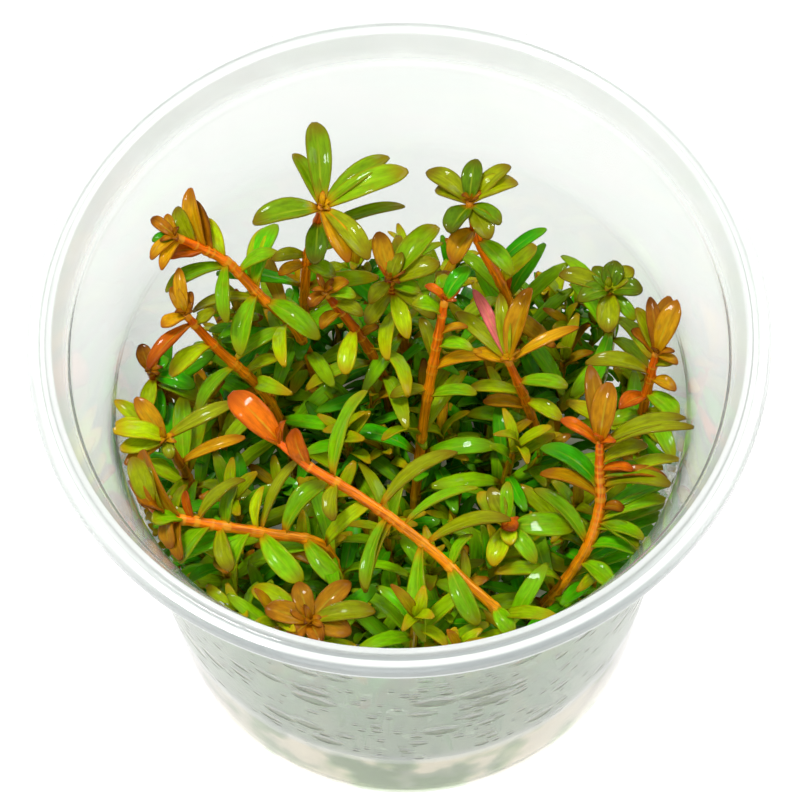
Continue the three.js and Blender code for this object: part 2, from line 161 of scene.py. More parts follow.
# Shoots that stand out from the mass. Each has its foot on the gel, the points of its stem above
# the gel, and its upper leaves: distance from the stem's tip, then the leaf's reach to the right,
# to the back and up, its width and its tint. Below bare_from the stem carries ordinary leaves.
SHOOTS = [
    {
        "name": "long_orange",
        "bud": ("orange", 3),
        "colour": "orange",
        "foot": (15, -29),
        "points": [
            (14.5, -30.5, 46), (12.5, -30, 57), (8, -26.5, 60), (3, -22, 62),
            (-6, -16, 66), (-13.5, -12.5, 70), (-17, -10, 72),
        ],
        "leaves": [
            (0, -6.5, 6, 4.5, 4.2, "orange"), (5.5, -2, 4, 3.5, 3, "orange"),
            (9.5, 4.5, 11.5, 5, 3, "green"), (10, -1, -5.5, 0, 2.4, "olive"),
            (17, 10.5, 7, 4.5, 2.8, "olive"), (19.5, -4.5, -10, -1, 2.6, "olive"),
            (18.5, -3.5, -10.5, -0.5, 2.2, "green"), (21, 10.5, 4.5, 3, 2, "green"),
            (25, 11.5, 3.5, 2.5, 2.6, "olive"), (24.5, -0.5, -13.5, -3, 3, "green"),
            (29.5, 3.5, -8.5, -0.5, 3, "green"), (30, 2.5, 4.5, 2, 2, "green"),
            (38, 2.5, -4, 0, 2.6, "green"),
        ],
        "bare_from": 40,
    },
    {
        "name": "low_orange",
        "bud": ("orange", 2),
        "colour": "orange",
        "foot": (-9, -21),
        "points": [
            (-9.5, -20.5, 46), (-12, -19, 57.5), (-20, -19, 62), (-28, -19, 66),
            (-33.5, -18.5, 68.5), (-35.5, -16, 71.5),
        ],
        "leaves": [
            (3, -2.5, 5, 5, 3, "olive"), (7.5, -5, 7.5, 6, 3.8, "bronze"),
            (5.5, -2.5, 6.5, 5.5, 2.6, "olive"), (9.5, -1, 3.5, 2.5, 1.4, "orange"),
            (10, 6.5, 5, 3, 2.4, "olive"), (14.5, 1, 5, 3, 2.4, "green"),
            (19, 1, 5.5, 3, 1.8, "lime"), (19.5, 5, 9.5, 4.5, 1.8, "olive"),
            (23, 5.5, 6.5, 4, 3.2, "green"), (4, -6.5, 1.5, 4, 2.2, "brown"),
            (5, -5, -1, 3, 2.6, "brown"), (6, -2, -6, 0, 3, "bronze"),
            (7.5, -1, -6.5, -0.5, 2.2, "bronze"), (12, -5, -6, -0.5, 3.4, "green"),
            (13.5, 1, -6.5, -0.5, 2.6, "olive"), (18, -3, -5, 0, 2.6, "green"),
            (19.5, 5.5, -7.5, -0.5, 3.4, "green"), (26, 5, -7, -0.5, 3, "green"),
            (8, -8.5, 3, 1, 2.6, "amber"), (12, -10.5, 1, 0, 2.8, "olive"),
            (14, -11, -1.5, -1, 3, "green"), (19, -12.5, -3.5, -1, 3, "grass"),
            (8, -6, -2.5, 3, 3, "green"),
        ],
        "bare_from": 30,
    },
    {
        "name": "right_curve",
        "bud": ("orange", 3),
        "colour": "orange",
        "foot": (17, -22),
        "points": [
            (19, -23.5, 42), (22, -23, 50), (25.5, -20.5, 58),
            (27, -17, 62), (27, -12.5, 68), (27, -11, 71),
        ],
        "leaves": [
            (0, 1.5, 7, 5, 3.4, "bronze"), (0, -5, 2.5, 3.5, 2.2, "orange"),
            (1, -1, 9.5, 6, 2.8, "bronze"), (2, 13, 1, 5.5, 2, "olive"),
            (1, 11.5, 2.5, 4, 2.6, "olive"), (5, 4.5, -0.5, 1.5, 1.6, "orange"),
            (7.5, 12, -2.5, 4, 3, "olive"), (6.5, 9, -0.5, 2, 2, "brown"),
            (9, 12.5, 4, 3.5, 2.4, "lime"), (13, 10.5, 2, 3, 2.6, "green"),
            (14, 8, -3.5, 2, 2.8, "green"), (17, 8.5, -3, 2, 2.6, "grass"),
            (9.5, -8, 3, 3.5, 2.4, "amber"), (17, -6.5, 7.5, 4.5, 2.4, "green"),
            (8, -7.5, 6, 3, 3.2, "deep"), (13, 5.5, -4.5, 0.5, 3, "green"),
            (11, 3.5, -0.5, 1, 1.8, "brown"), (20, 4.5, -4, 0, 2.8, "green"),
            (12, 11.5, 4, 1, 2.8, "grass"), (15, 12, 5, 0, 3, "green"),
            (18, 12.5, 5, 1, 3, "grass"), (21, 12.5, 5.5, 0, 3, "deep"),
            (24, 12, 4.5, 0, 2.8, "grass"),
            (4, 6.5, 2, 2, 2.6, "olive"), (6, 7.5, 0, 0.5, 3, "green"),
        ],
        "bare_from": 25,
    },
    {
        "name": "centre",
        "bud": ("orange", 2),
        "colour": "orange",
        "foot": (1, -5),
        "points": [(1.5, -4, 36), (3.2, 2.5, 52), (5.3, 7.8, 65), (6.6, 10.8, 73)],
        "leaves": [
            (0, -2.5, 1.5, 2.5, 1.6, "orange"), (0, 2, 1.5, 2, 1.6, "orange"),
            (0.5, 3.5, 4, 3, 2.6, "deep"), (3, -4, 1, 2, 2.6, "green"),
            (12, -1.5, 5.5, 3.5, 2, "olive"), (13.5, 8, 1, 3, 2.2, "amber"),
            (7, 4, 0.5, 2, 1.4, "amber"), (18.5, 7, -0.5, 2, 2.2, "green"),
            (17, -5.5, -1, 1, 2.2, "olive"), (9, 5, -1, 1.5, 2.2, "green"),
            (1, 0, 4, 1.5, 2.4, "green"),
        ],
        "bare_from": 26,
    },
    {
        "name": "upper_left",
        "bud": ("brown", 2.5),
        "colour": "orange",
        "foot": (-12, 13),
        "points": [
            (-12.5, 13.5, 44), (-15, 15, 58), (-19.5, 17, 64),
            (-24, 19.5, 70), (-27.5, 20, 73.5), (-31, 20, 77),
        ],
        "leaves": [
            (7, -2.5, 6, 4.5, 3.4, "brown"), (6, -2, 6.5, 6, 2.6, "amber"),
            (9.5, -2.5, 5, 3.5, 3, "lime"), (4, -2.5, 4.5, 3, 2.6, "olive"),
            (6, -5.5, -1, 1, 2.8, "orange"), (1, -4, -3, 0.5, 1.8, "amber"),
            (1.5, -3, -4.5, 0, 1.8, "amber"), (0, -3.5, 2.5, 1.5, 1.8, "brown"),
            (0, -1.5, 3, 1.5, 1.6, "amber"), (0.5, -3.5, -0.5, 0.5, 1.6, "deep"),
            (10, -0.5, -9, -0.5, 2.2, "green"), (12.5, 5.5, 2.5, 2, 2.4, "green"),
            (17, 1, 8.5, 4, 2.8, "lime"), (16, 3, 8.5, 4, 3.6, "grass"),
            (11, -9.5, -3, 0.5, 2.6, "green"), (19, -10.5, -1, 1, 2, "olive"),
            (17, -3, -9, -1, 3, "green"), (19, 7.5, -6, 0.5, 3.2, "green"),
        ],
        "bare_from": 24,
    },
    {
        "name": "left_up",
        "bud": ("brown", 2.5),
        "colour": "orange",
        "foot": (-16, 5),
        "points": [(-17, 6, 40), (-20, 8, 52), (-26, 10, 62), (-30, 11.5, 70)],
        "leaves": [
            (0, -2, 3, 3, 2, "amber"), (0, -1, 5.5, 4, 2, "amber"),
            (1, 0.5, 3, 2, 2, "brown"), (0.5, -3.5, -2, 1, 2.4, "amber"),
            (2.5, -6.5, -6.5, -0.5, 2.4, "orange"), (8, -6, -5, 0.5, 2.8, "lime"),
            (3, 3, 1.5, 1.5, 2.2, "olive"), (13, 7.5, 4, 3, 2.2, "green"),
            (14, -6, -6.5, -0.5, 2.4, "green"), (16, 5, 2, 1, 2, "lime"),
        ],
        "bare_from": 20,
    },
    {
        "name": "tall_left",
        "bud": ("amber", 2),
        "colour": "orange",
        "foot": (-14, 21),
        "points": [(-14, 20, 45), (-13.5, 19.5, 58), (-12.5, 20, 70), (-10, 21.5, 81.5)],
        "leaves": [
            (0, -0.5, 12, 4, 3.6, "moss"), (0.5, -3.5, 7.5, 3, 2.4, "moss"),
            (0.5, -9.5, -2.5, 1, 4, "moss"), (0, 9.5, 6.5, 3, 3, "moss"),
            (0, 12, 4, 3.5, 3.6, "moss"), (7, 13, 3.5, 2, 2, "moss"),
            (0.5, 3.5, -8.5, 0, 3.2, "amber"), (0.5, 6.5, -8, 0, 3.2, "olive"),
            (3.5, -0.5, -6.5, 0, 3.2, "dark"), (1, 2, -5.5, 0, 2, "moss"),
            (11, 5, 2, 1, 3, "moss"), (14, 4, -2.5, 0.5, 2.8, "moss"),
            (12, -5, -0.5, 1, 2, "olive"), (14, -4, -1.5, 0.5, 1.8, "amber"),
        ],
        "bare_from": 20,
    },
    {
        "name": "tall_right",
        "bud": ("brown", 2.5),
        "colour": "orange",
        "foot": (18, 19),
        "points": [
            (18, 19, 42), (16, 18, 58), (14.2, 17.6, 67), (11.5, 18.3, 76), (10.3, 21, 82.5),
        ],
        "leaves": [
            (0, -5.5, 4.5, 2.5, 3, "olive"), (0, 1, 5.5, 3, 3, "dark"),
            (0.5, 5.5, 4.5, 3, 3, "olive"), (0.5, 6.5, 2.5, 2, 3.4, "olive"),
            (1, 4, -3.5, 1, 2.6, "dark"), (1, 2.5, -5.5, 0.5, 3.2, "olive"),
            (1, -3, -4.5, 0.5, 3.6, "dark"), (0.5, -4.5, 2.5, 1, 2.6, "olive"),
            (5, -3.5, -5, 0, 3.4, "amber"), (7, 4.5, -5.5, 0, 2.8, "green"),
            (15, 7.5, 4.5, 3.5, 2, "deep"), (19, 5, 4.5, 3, 3.2, "lime"),
            (23, 0.5, 2, 3, 1.6, "orange"),
        ],
        "bare_from": 25,
    },
    {
        "name": "dark_back",
        "bud": ("brown", 2.5),
        "colour": "olive",
        "foot": (1, 16),
        "points": [(1, 16.5, 45), (-1, 16.5, 69)],
        "leaves": [
            (0.5, -1.5, 5.5, 4.5, 3, "amber"), (0.5, 1.5, 3, 3, 2.6, "olive"),
            (1, 7, 1.5, 2.5, 3.2, "olive"), (2, 4, -1.5, 1, 2.4, "green"),
            (0.5, 7, 7, 3, 3.6, "moss"),
            (1, -3, -3.5, 0.5, 2.4, "olive"), (4, 2, -7, -0.5, 2.6, "lime"),
            (4, -4, -4.5, -0.5, 2.6, "olive"), (3, 6, -4.5, 0, 2.6, "olive"),
            (0.5, -2, 3.5, 3, 1.4, "orange"),
        ],
        "bare_from": 9,
    },
    {
        "name": "right_back",
        "bud": ("amber", 2),
        "colour": "orange",
        "foot": (20, 3),
        "points": [(20, 4, 40), (18, 5, 52), (15.2, 6.5, 62.5)],
        "leaves": [
            (0, 3.5, 8.5, 6, 3.2, "amber"), (0.5, -4.5, 9.5, 4.5, 1.9, "pink"),
            (0.5, -7, 6.5, 3.5, 2.6, "olive"), (1, -1, 8.5, 5, 2.2, "olive"),
            (1, 10, 4, 3, 1.8, "amber"), (1, -5, 1, 2, 2.2, "amber"),
            (9, -7.5, 0.5, 2, 2.2, "lime"), (13, -6.5, 0.5, 2, 2.2, "amber"),
            (18, -9.5, 1.5, 2.5, 2.6, "green"), (6, 7, -1.5, 1.5, 2.4, "green"),
            (11, 5, -3.5, 1, 2.4, "lime"),
        ],
        "bare_from": 22,
    },
    {
        "name": "back_right_green",
        "bud": ("olive", 2.5),
        "colour": "green",
        "foot": (29, 16),
        "points": [(31, 16.5, 48), (30, 15, 66.5)],
        "leaves": [
            (0, -7, 2, 2, 2.8, "olive"), (0.5, -4.5, -2, 1.5, 3, "dark"),
            (0.5, 1, 3.5, 2.5, 3.2, "dark"), (0.5, 4.5, -1, 2, 3, "dark"),
            (1, -0.5, -6.5, 0, 3.4, "olive"), (0, -2, 3, 2, 2.4, "dark"),
            (1, 3.5, -4.5, 0, 2, "green"), (0, 3.5, 2.5, 2, 2.8, "olive"),
        ],
        "bare_from": 10,
    },
    {
        "name": "far_right",
        "bud": ("brown", 2.5),
        "colour": "orange",
        "foot": (31, 1),
        "points": [(34, 1.5, 42), (35, 2.5, 58), (36, 4.5, 67)],
        "leaves": [
            (0, -0.5, 6.5, 5, 2.2, "brown"), (0, 2, 6.5, 5, 3, "bronze"),
            (0.5, 4, 5.5, 6, 3.2, "amber"), (0.5, -3, 3, 2.5, 2, "brown"),
            (0.5, -2.5, 5.5, 4, 2.4, "olive"), (0.5, 3, -1.5, 0.5, 1.6, "amber"),
            (3, 3, 0, 1.5, 2, "olive"), (5, -9, 1, 3.5, 2.6, "olive"),
            (9, 4, -4.5, 1, 3.2, "green"), (6, 3.5, -2, 1, 2, "amber"),
            (10, -4, -2.5, 1.5, 2.6, "orange"), (14, 5, -3, 1.5, 2, "lime"),
            (15, -4.5, -2, 1.5, 2.6, "green"), (21, 5, -1, 3, 2.4, "green"),
            (14, 6, -9.5, 3, 2.6, "green"), (18, 6, -5, 3, 2.4, "lime"),
        ],
        "bare_from": 22,
    },
    {
        "name": "front_star",
        "bud": ("brown", 2.5),
        "colour": "olive",
        "foot": (-12, -29),
        "points": [(-13, -31, 46), (-13.5, -32, 61)],
        "leaves": [
            (0, -1.5, 5, 2.5, 3, "bronze"), (0, 5.5, 5, 2.5, 3, "bronze"),
            (0.5, 5.5, -2, 1.5, 3.4, "bronze"), (0.5, 9, 0.5, 2, 2.8, "olive"),
            (0.5, -6, 1.5, 2, 3.2, "bronze"), (2.5, -8, 6, 0.5, 3.2, "lime"),
            (0.5, 1.5, -3.5, 1, 2.6, "brown"), (0.5, -3, -3, 1, 2.4, "brown"),
            (0, -2.5, 1.5, 2, 1.8, "brown"),
        ],
        "bare_from": 8,
    },
    {
        "name": "left_fan",
        "bud": ("amber", 2),
        "colour": "olive",
        "foot": (-28, -3),
        "points": [(-31, -3, 45), (-32.5, -5, 60), (-33, -6.5, 67)],
        "leaves": [
            (0.5, -6.5, 4.5, 4, 2.4, "lime"), (0, -3.5, 4, 5, 2.8, "amber"),
            (0.5, -6.5, 1.5, 3, 2.8, "lime"), (1, -8, -1.5, 6, 3, "lime"),
            (1, -6.5, -3, 3.5, 2.6, "lime"), (1.5, -6.5, -4.5, 2, 2, "amber"),
            (0, 1, -3, 0, 1.8, "olive"), (0.5, 10, 4, 3, 2.2, "olive"),
            (14, 9.5, 2.5, 3, 1.8, "amber"), (18, 0, 10, 5, 2.8, "green"),
        ],
        "bare_from": 20,
    },
    {
        "name": "mid_brown",
        "bud": ("brown", 2.5),
        "colour": "olive",
        "foot": (-1, 8),
        "points": [(-2.5, 10.5, 50), (-5.3, 11.8, 60), (-10.3, 14.3, 70)],
        "leaves": [
            (0, 3, 1, 2, 2.4, "amber"), (0.5, -2.5, -2, 0.5, 2.2, "brown"),
            (3, 4, -2, 0.5, 2.2, "olive"), (11, 2.5, 1, 1.5, 1.6, "amber"),
            (9, -1.5, -7, -0.5, 2.8, "lime"), (1, 4, -0.5, 0.5, 2, "green"),
            (5, -3, -2.5, 0.5, 2.2, "amber"),
        ],
        "bare_from": 14,
    },
    {
        "name": "small_bud",
        "bud": ("orange", 2),
        "colour": "green",
        "foot": (12, -14),
        "points": [(14, -16, 48), (14, -18, 60)],
        "leaves": [
            (0, 1, -1.5, 2, 2.4, "orange"), (1.5, -3.5, 4, 3, 2.8, "lime"),
            (1, -2, 4.5, 3, 2.6, "olive"), (1, 0.5, 5, 3.5, 2, "green"),
            (2, 9.5, -0.5, 1.5, 3.6, "green"), (1.5, -2, -6, 0.5, 3, "lime"),
            (1.5, 4, -5.5, 0, 2.6, "green"), (16, 6.5, -2.5, 1.5, 2.4, "lime"),
            (0.5, 0.5, -3.5, 1, 2.4, "lime"),
        ],
        "bare_from": 18,
    },
    {
        "name": "left_back",
        "bud": ("brown", 2),
        "colour": "olive",
        "foot": (-31, 10),
        "points": [(-34, 10.5, 42), (-36, 9.5, 57)],
        "leaves": [
            (0, -1.5, 3, 3, 2.4, "brown"), (0, 1, 2, 2, 1.8, "brown"),
            (1, 2.5, 1.5, 1.5, 2.4, "deep"), (3, -1, -5.5, 0, 2.4, "lime"),
            (2.5, 6, -2, 1, 2.6, "deep"), (5, 6, -3.5, 1.5, 2.8, "green"),
            (6, 0, -6, 0, 2.6, "deep"),
        ],
        "bare_from": 8,
    },
]


# Colours
def linear(code):
    """An sRGB hex colour as linear red, green and blue."""
    parts = [int(code[i:i + 2], 16) / 255 for i in (1, 3, 5)]
    return [p / 12.92 if p <= 0.04045 else ((p + 0.055) / 1.055) ** 2.4 for p in parts]


def linear4(code):
    return (*linear(code), 1.0)


# Numbers and places
def number_sequence(seed):
    """Evenly spread numbers from 0 to 1, the same in every run."""
    state = (seed * 7919 + 12345) & 0xFFFFFFFF

    def step():
        nonlocal state
        state = (state * 1664525 + 1013904223) & 0xFFFFFFFF
        return state / 2 ** 32

    step()
    step()
    return step


def inside_radius(z):
    """Inner radius of the cup at a height, up to where the lid's seat begins."""
    taper = (SHOULDER_RADIUS - BASE_RADIUS) / (SHOULDER_HEIGHT - BASE_CORNER)
    shoulder_slope = 0.4
    straight = BASE_RADIUS - WALL + taper * (np.minimum(z, SHOULDER_HEIGHT) - BASE_CORNER)
    return straight + shoulder_slope * np.maximum(0, z - SHOULDER_HEIGHT)


def kept_inside(points, clearance):
    """Points moved in to the cup's inner face where they would pass through it."""
    points = np.array(points, float)
    limit = inside_radius(points[..., 2]) - clearance
    radius = np.hypot(points[..., 0], points[..., 1])
    scale = np.minimum(1, limit / np.maximum(radius, 1e-6))
    points[..., 0] *= scale
    points[..., 1] *= scale
    return points


def unit(vector):
    """The vector at a length of one."""
    return vector / np.linalg.norm(vector)


def square_to(along):
    """A direction square to the stem, from the right or, where the stem runs that way, the back."""
    reference = np.array([1.0, 0, 0]) if abs(along[0]) < 0.8 else np.array([0, 1.0, 0])
    return unit(reference - along * np.dot(reference, along))


def turned_about(vector, axis, angle):
    """The vector turned about an axis of unit length."""
    across = np.cross(axis, vector)
    along = axis * np.dot(axis, vector) * (1 - math.cos(angle))
    return vector * math.cos(angle) + across * math.sin(angle) + along


class Route:
    """A stem's smooth way through its points, a curve that doesn't overshoot at close points."""

    def __init__(self, points, per_span=20):
        knots = [np.array(p, float) for p in points]
        knots = [2 * knots[0] - knots[1], *knots, 2 * knots[-1] - knots[-2]]
        steps = []
        for a, b, c, d in zip(knots, knots[1:], knots[2:], knots[3:]):
            before, within, after = [np.linalg.norm(v) ** 0.5 for v in (b - a, c - b, d - c)]
            start = ((b - a) / before - (c - a) / (before + within) + (c - b) / within) * within
            end = ((c - b) / within - (d - b) / (within + after) + (d - c) / after) * within
            for t in np.linspace(0, 1, per_span, endpoint=False):
                t2, t3 = t * t, t * t * t
                at_b = (2 * t3 - 3 * t2 + 1) * b + (t3 - 2 * t2 + t) * start
                at_c = (3 * t2 - 2 * t3) * c + (t3 - t2) * end
                steps.append(at_b + at_c)
        steps.append(knots[-2])
        self.steps = np.array(steps)
        lengths = np.linalg.norm(np.diff(self.steps, axis=0), axis=1)
        self.travelled = np.concatenate([[0], np.cumsum(lengths)])
        self.length = self.travelled[-1]

    def places(self, distances):
        return np.stack([np.interp(distances, self.travelled, self.steps[:, k]) for k in range(3)], -1)

    def on_stem(self, from_tip):
        """The point and the stem's direction at a distance back from the tip."""
        s = self.length - max(from_tip, ROOT_DEPTH)
        behind, point, ahead = self.places([s - 0.3, s, min(s + 0.3, self.length)])
        return point, unit(ahead - behind)


# How leaves stand on a stem
def paired_leaves(route, seed, from_tip, end, spacing, length, width):
    """Ordinary leaves in crossed pairs, close together near the tip and longest further down."""
    step = number_sequence(seed)
    turn_start = step() * math.pi
    leaves = []
    pair = 0
    s = from_tip
    while s < end:
        point, along = route.on_stem(s)
        turn = turn_start + pair * math.pi / 2 + (step() - 0.5) * 0.7
        out = turned_about(square_to(along), along, turn)
        age = min(1, (from_tip + s) / GROWN_AT)
        # A young leaf is short and stands up along the stem, an older one is long and lies open
        for sign in (1, -1):
            pitch = (1.2 - 0.75 * age) + (step() - 0.5) * 0.5
            reach = length * (0.65 + 0.35 * age) * (0.85 + 0.3 * step())
            direction = out * sign * math.cos(pitch) + along * math.sin(pitch)
            broad = width * (0.7 + 0.3 * age) * (0.9 + 0.2 * step())
            twist = (step() - 0.5) * 0.8
            leaves.append({
                "base": point, "tip": kept_inside(point + direction * reach, WALL_CLEARANCE),
                "along": along, "width": broad, "twist": twist, "pair": pair, "from_tip": s,
                "out": out * sign,
            })
        s += spacing * (0.45 + 0.55 * age) * (0.9 + 0.2 * step())
        pair += 1
    return leaves


def placed_leaves(route, rows):
    """Leaves of a shoot that are placed one by one."""
    leaves = []
    for from_tip, right, back, up, width, tint in rows:
        point, along = route.on_stem(from_tip)
        tip = kept_inside(point + np.array([right, back, up]), WALL_CLEARANCE)
        leaves.append({
            "base": point, "tip": tip, "along": along, "width": width, "twist": 0,
            "tint": tint, "from_tip": from_tip, "fine": True,
        })
    return leaves


def bud_leaves(route, seed, tint, size, count):
    """The few small folded leaves that close a shoot's tip."""
    step = number_sequence(seed)
    point, along = route.on_stem(0)
    leaves = []
    for k in range(count):
        turn = k * math.pi / 2 + (k // 2) * 0.8 + step() * 0.5
        side = turned_about(square_to(along), along, turn)
        pitch = 0.7 + 0.25 * (k % 3)
        direction = side * math.cos(pitch) + along * math.sin(pitch)
        reach = size * (0.7 + 0.6 * step())
        leaves.append({
            "base": point, "tip": kept_inside(point + direction * reach, WALL_CLEARANCE),
            "along": along, "width": size * 0.42, "twist": 0, "tint": tint, "from_tip": 0,
        })
    return leaves


def wall_leaves(route, seed):
    """Leaves of an outer stem that lie flat against the cup's wall."""
    flat_turn = 1.45
    bare_foot = 10
    step = number_sequence(seed)
    leaves = []
    here = 3 + 3 * step()
    while here < route.length - bare_foot:
        from_tip = here
        point, along = route.on_stem(from_tip)
        outward = unit(np.array([point[0], point[1], 0]))
        around = np.array([-outward[1], outward[0], 0])
        sign = 1 if step() < 0.5 else -1
        side = sign * (4 + 6 * step())
        reach = outward * WALL_LEAF_REACH + around * side + np.array([0, 0, 6 * step() - 3])
        here += 1.5 + 2 * step()
        to_wall = float(inside_radius(point[2])) - math.hypot(point[0], point[1])
        if point[2] > WALL_LEAF_TOP or to_wall > WALL_LEAF_REACH:
            continue
        leaves.append({
            "base": point, "tip": kept_inside(point + reach, WALL_CLEARANCE), "along": along,
            "width": 2 + 1.4 * step(), "twist": -sign * flat_turn, "from_tip": from_tip,
        })
    return leaves


def side_shoots(leaves, seed, count):
    """Short side shoots from the axils of some leaves, each with a route of its own. They sprout
    below the uppermost pairs, most of them on the side away from the cup's middle."""
    first_pair = 4
    step = number_sequence(seed)
    wanted = [leaf for leaf in leaves if leaf["pair"] >= first_pair]
    wanted.sort(key=lambda leaf: -np.dot(leaf["out"][:2], leaf["base"][:2]))
    shoots = []
    while wanted and len(shoots) < count:
        leaf = wanted.pop(int(step() ** 2 * len(wanted)))
        length = SIDE_SHOOT_LENGTH * (0.65 + 0.6 * step())
        start = unit(leaf["out"] * 0.85 + leaf["along"] * 0.55)
        bend = leaf["base"] + start * length * 0.45
        tip = bend + unit(start + np.array([0, 0, 0.9])) * length * 0.55
        way = kept_inside([leaf["base"], bend, tip], SIDE_SHOOT_CLEARANCE)
        shoots.append(Route(way, per_span=8))
    return shoots


def green_stems():
    """Ordinary green stems: a spiral field of feet, without those too near a placed shoot. Each
    leans a little, and the ones at the front are taller."""
    lean = 4
    middle_height = 34
    tip_height = 48
    front_rise = 0.3
    height_spread = 8
    stems = []
    for i in range(GREEN_STEM_COUNT):
        step = number_sequence(SEEDS["green_stem"] + i)
        radius = GREEN_FIELD_RADIUS * math.sqrt((i + 0.5) / GREEN_STEM_COUNT)
        angle = math.radians(i * GOLDEN_ANGLE + 20)
        x, y = radius * math.cos(angle), radius * math.sin(angle)
        lean_x = (step() - 0.5) * lean
        lean_y = (step() - 0.5) * lean
        height = tip_height - front_rise * y + (step() - 0.5) * height_spread
        if any(math.hypot(s["foot"][0] - x, s["foot"][1] - y) < GREEN_SPACING for s in SHOOTS):
            continue
        middle = (x * 1.03 + lean_x * 0.3, y * 1.03 + lean_y * 0.3, middle_height)
        tip = (x * 1.08 + lean_x, y * 1.08 + lean_y, height)
        name = "green_%02d" % (len(stems) + 1)
        stems.append({
            "name": name, "colour": "green", "foot": (x, y), "points": [middle, tip],
            "leaves": [], "bare_from": FIRST_PAIR_AT, "seed": SEEDS["green_leaves"] + i,
            "radius": GREEN_STEM_RADIUS,
        })
    return stems


# Room already taken by leaves and stems, so that leaves don't pass through each other
class Room:
    """A grid of small cells, each with the name of the shoot that fills it."""

    def __init__(self):
        self.owners = {}

    def cells(self, points):
        return set(map(tuple, np.floor(points / ROOM_CELL).astype(int)))

    def taken(self, points, owner):
        return sum(1 for cell in self.cells(points) if self.owners.get(cell, owner) != owner)

    def take(self, points, owner):
        for cell in self.cells(points):
            self.owners[cell] = owner


# The leaf: a thin closed blade with a narrow foot, a round tip and a fold along its midrib
def leaf_template(rows, columns):
    """Faces of a closed blade, with each corner's place along, across, and above or below."""
    bm = bmesh.new()
    bmesh.ops.create_grid(bm, x_segments=rows, y_segments=columns, size=1)
    copied = bmesh.ops.duplicate(bm, geom=bm.verts[:] + bm.edges[:] + bm.faces[:])["geom"]
    under_faces = [item for item in copied if isinstance(item, bmesh.types.BMFace)]
    under = {item for item in copied if isinstance(item, bmesh.types.BMVert)}
    bmesh.ops.reverse_faces(bm, faces=under_faces)
    for vert in bm.verts:
        inner = abs(vert.co.x) < 0.999 and abs(vert.co.y) < 0.999
        vert.co.z = 0 if not inner else (-1 if vert in under else 1)
    bmesh.ops.remove_doubles(bm, verts=bm.verts, dist=1e-4)
    bm.verts.ensure_lookup_table()
    # The rows lie closer towards the round tip, and the columns towards the margin
    along = np.array([1 - (1 - (v.co.x + 1) / 2) ** 1.8 for v in bm.verts])
    across = np.array([math.copysign(1 - (1 - abs(v.co.y)) ** 3, v.co.y) for v in bm.verts])
    above = np.array([v.co.z for v in bm.verts])
    faces = [[v.index for v in face.verts] for face in bm.faces]
    bm.free()
    return {"along": along, "across": across, "above": above, "faces": faces}


def leaf_outline(along, roundness):
    """Half width of the blade, as a share of its widest, from foot to tip."""
    widest = 0.6
    foot = 0.2
    blunt = 0.1 * roundness
    rising = foot + (1 - foot) * np.sin(math.pi / 2 * np.minimum(1, along / widest))
    beyond = np.maximum(0, along - widest) / (1 - widest)
    falling = np.maximum(blunt, np.maximum(0, 1 - beyond ** roundness) ** 0.55)
    return np.where(along < widest, rising, falling)


def leaf_axes(leaf):
    """The leaf's directions: to its tip, to its side, and up from its face."""
    forward = unit(leaf["tip"] - leaf["base"])
    lift = leaf["along"] + np.array([0, 0, 1.0])
    upward = lift - forward * np.dot(lift, forward)
    # A leaf that points nearly straight up faces the cup's middle
    if np.linalg.norm(upward) < 0.2:
        upward = np.array([-leaf["base"][0], -leaf["base"][1], 1.0])
    upward = unit(upward - forward * np.dot(upward, forward))
    upward = turned_about(upward, forward, leaf["twist"])
    return forward, np.cross(upward, forward), upward


def leaf_points(template, leaf, form):
    """The template's corners on one leaf, with its arch, curl, fold, wave and turn."""
    along, across, above = template["along"], template["across"], template["above"]
    tip_round = 0.006
    forward, side, upward = leaf_axes(leaf)
    length = np.linalg.norm(leaf["tip"] - leaf["base"])
    half = leaf["width"] / 2 * leaf_outline(along, form["roundness"])
    out = along * length * (1 - tip_round * across ** 2 * along ** 6)
    rise = form["arch"] * length * 4 * along * (1 - along) - form["curl"] * length * along ** 4
    fold = half * (form["fold"] * np.abs(across) - form["roll"] * across ** 4)
    wave = half * form["wave"] * across ** 2 * np.sin(9 * along + form["phase"] + 2 * across)
    thick = LEAF_HALF_THICKNESS * above
    local_y = half * across
    local_z = fold + wave + thick
    turn = form["turn"] * along
    y = local_y * np.cos(turn) - local_z * np.sin(turn)
    z = rise + local_y * np.sin(turn) + local_z * np.cos(turn)
    points = leaf["base"] + np.outer(out, forward) + np.outer(y, side) + np.outer(z, upward)
    points[:, 2] = np.maximum(points[:, 2], GEL_TOP + GEL_GAP)
    return kept_inside(points, PRESSED_GAP)


def leaf_form(step, young):
    """How one leaf is bent: arch, curl at the tip, fold, rolled margin, wave and turn."""
    return {
        "arch": LEAF_ARCH * (0.6 + 0.8 * step()),
        "curl": 0.02 + 0.12 * step() * (1.6 if young else 1),
        "fold": 0.3 + 0.55 * step(),
        "roll": 0.1 + 0.25 * step(),
        "wave": 0.16 * step(),
        "phase": 6.3 * step(),
        "turn": (step() - 0.5) * 0.9,
        "roundness": 2.0 + 1.3 * step(),
    }


# Placed leaves have finer faces than ordinary ones; points spread over a blade stand for its room
FINE_LEAF = leaf_template(12, 8)
ORDINARY_LEAF = leaf_template(6, 4)
ROOM_ALONG, ROOM_ACROSS = np.meshgrid(np.linspace(0.2, 0.97, 13), [-0.75, -0.25, 0.25, 0.75])
LEAF_ROOM = {
    "along": ROOM_ALONG.ravel(),
    "across": ROOM_ACROSS.ravel(),
    "above": np.zeros(ROOM_ALONG.size),
}


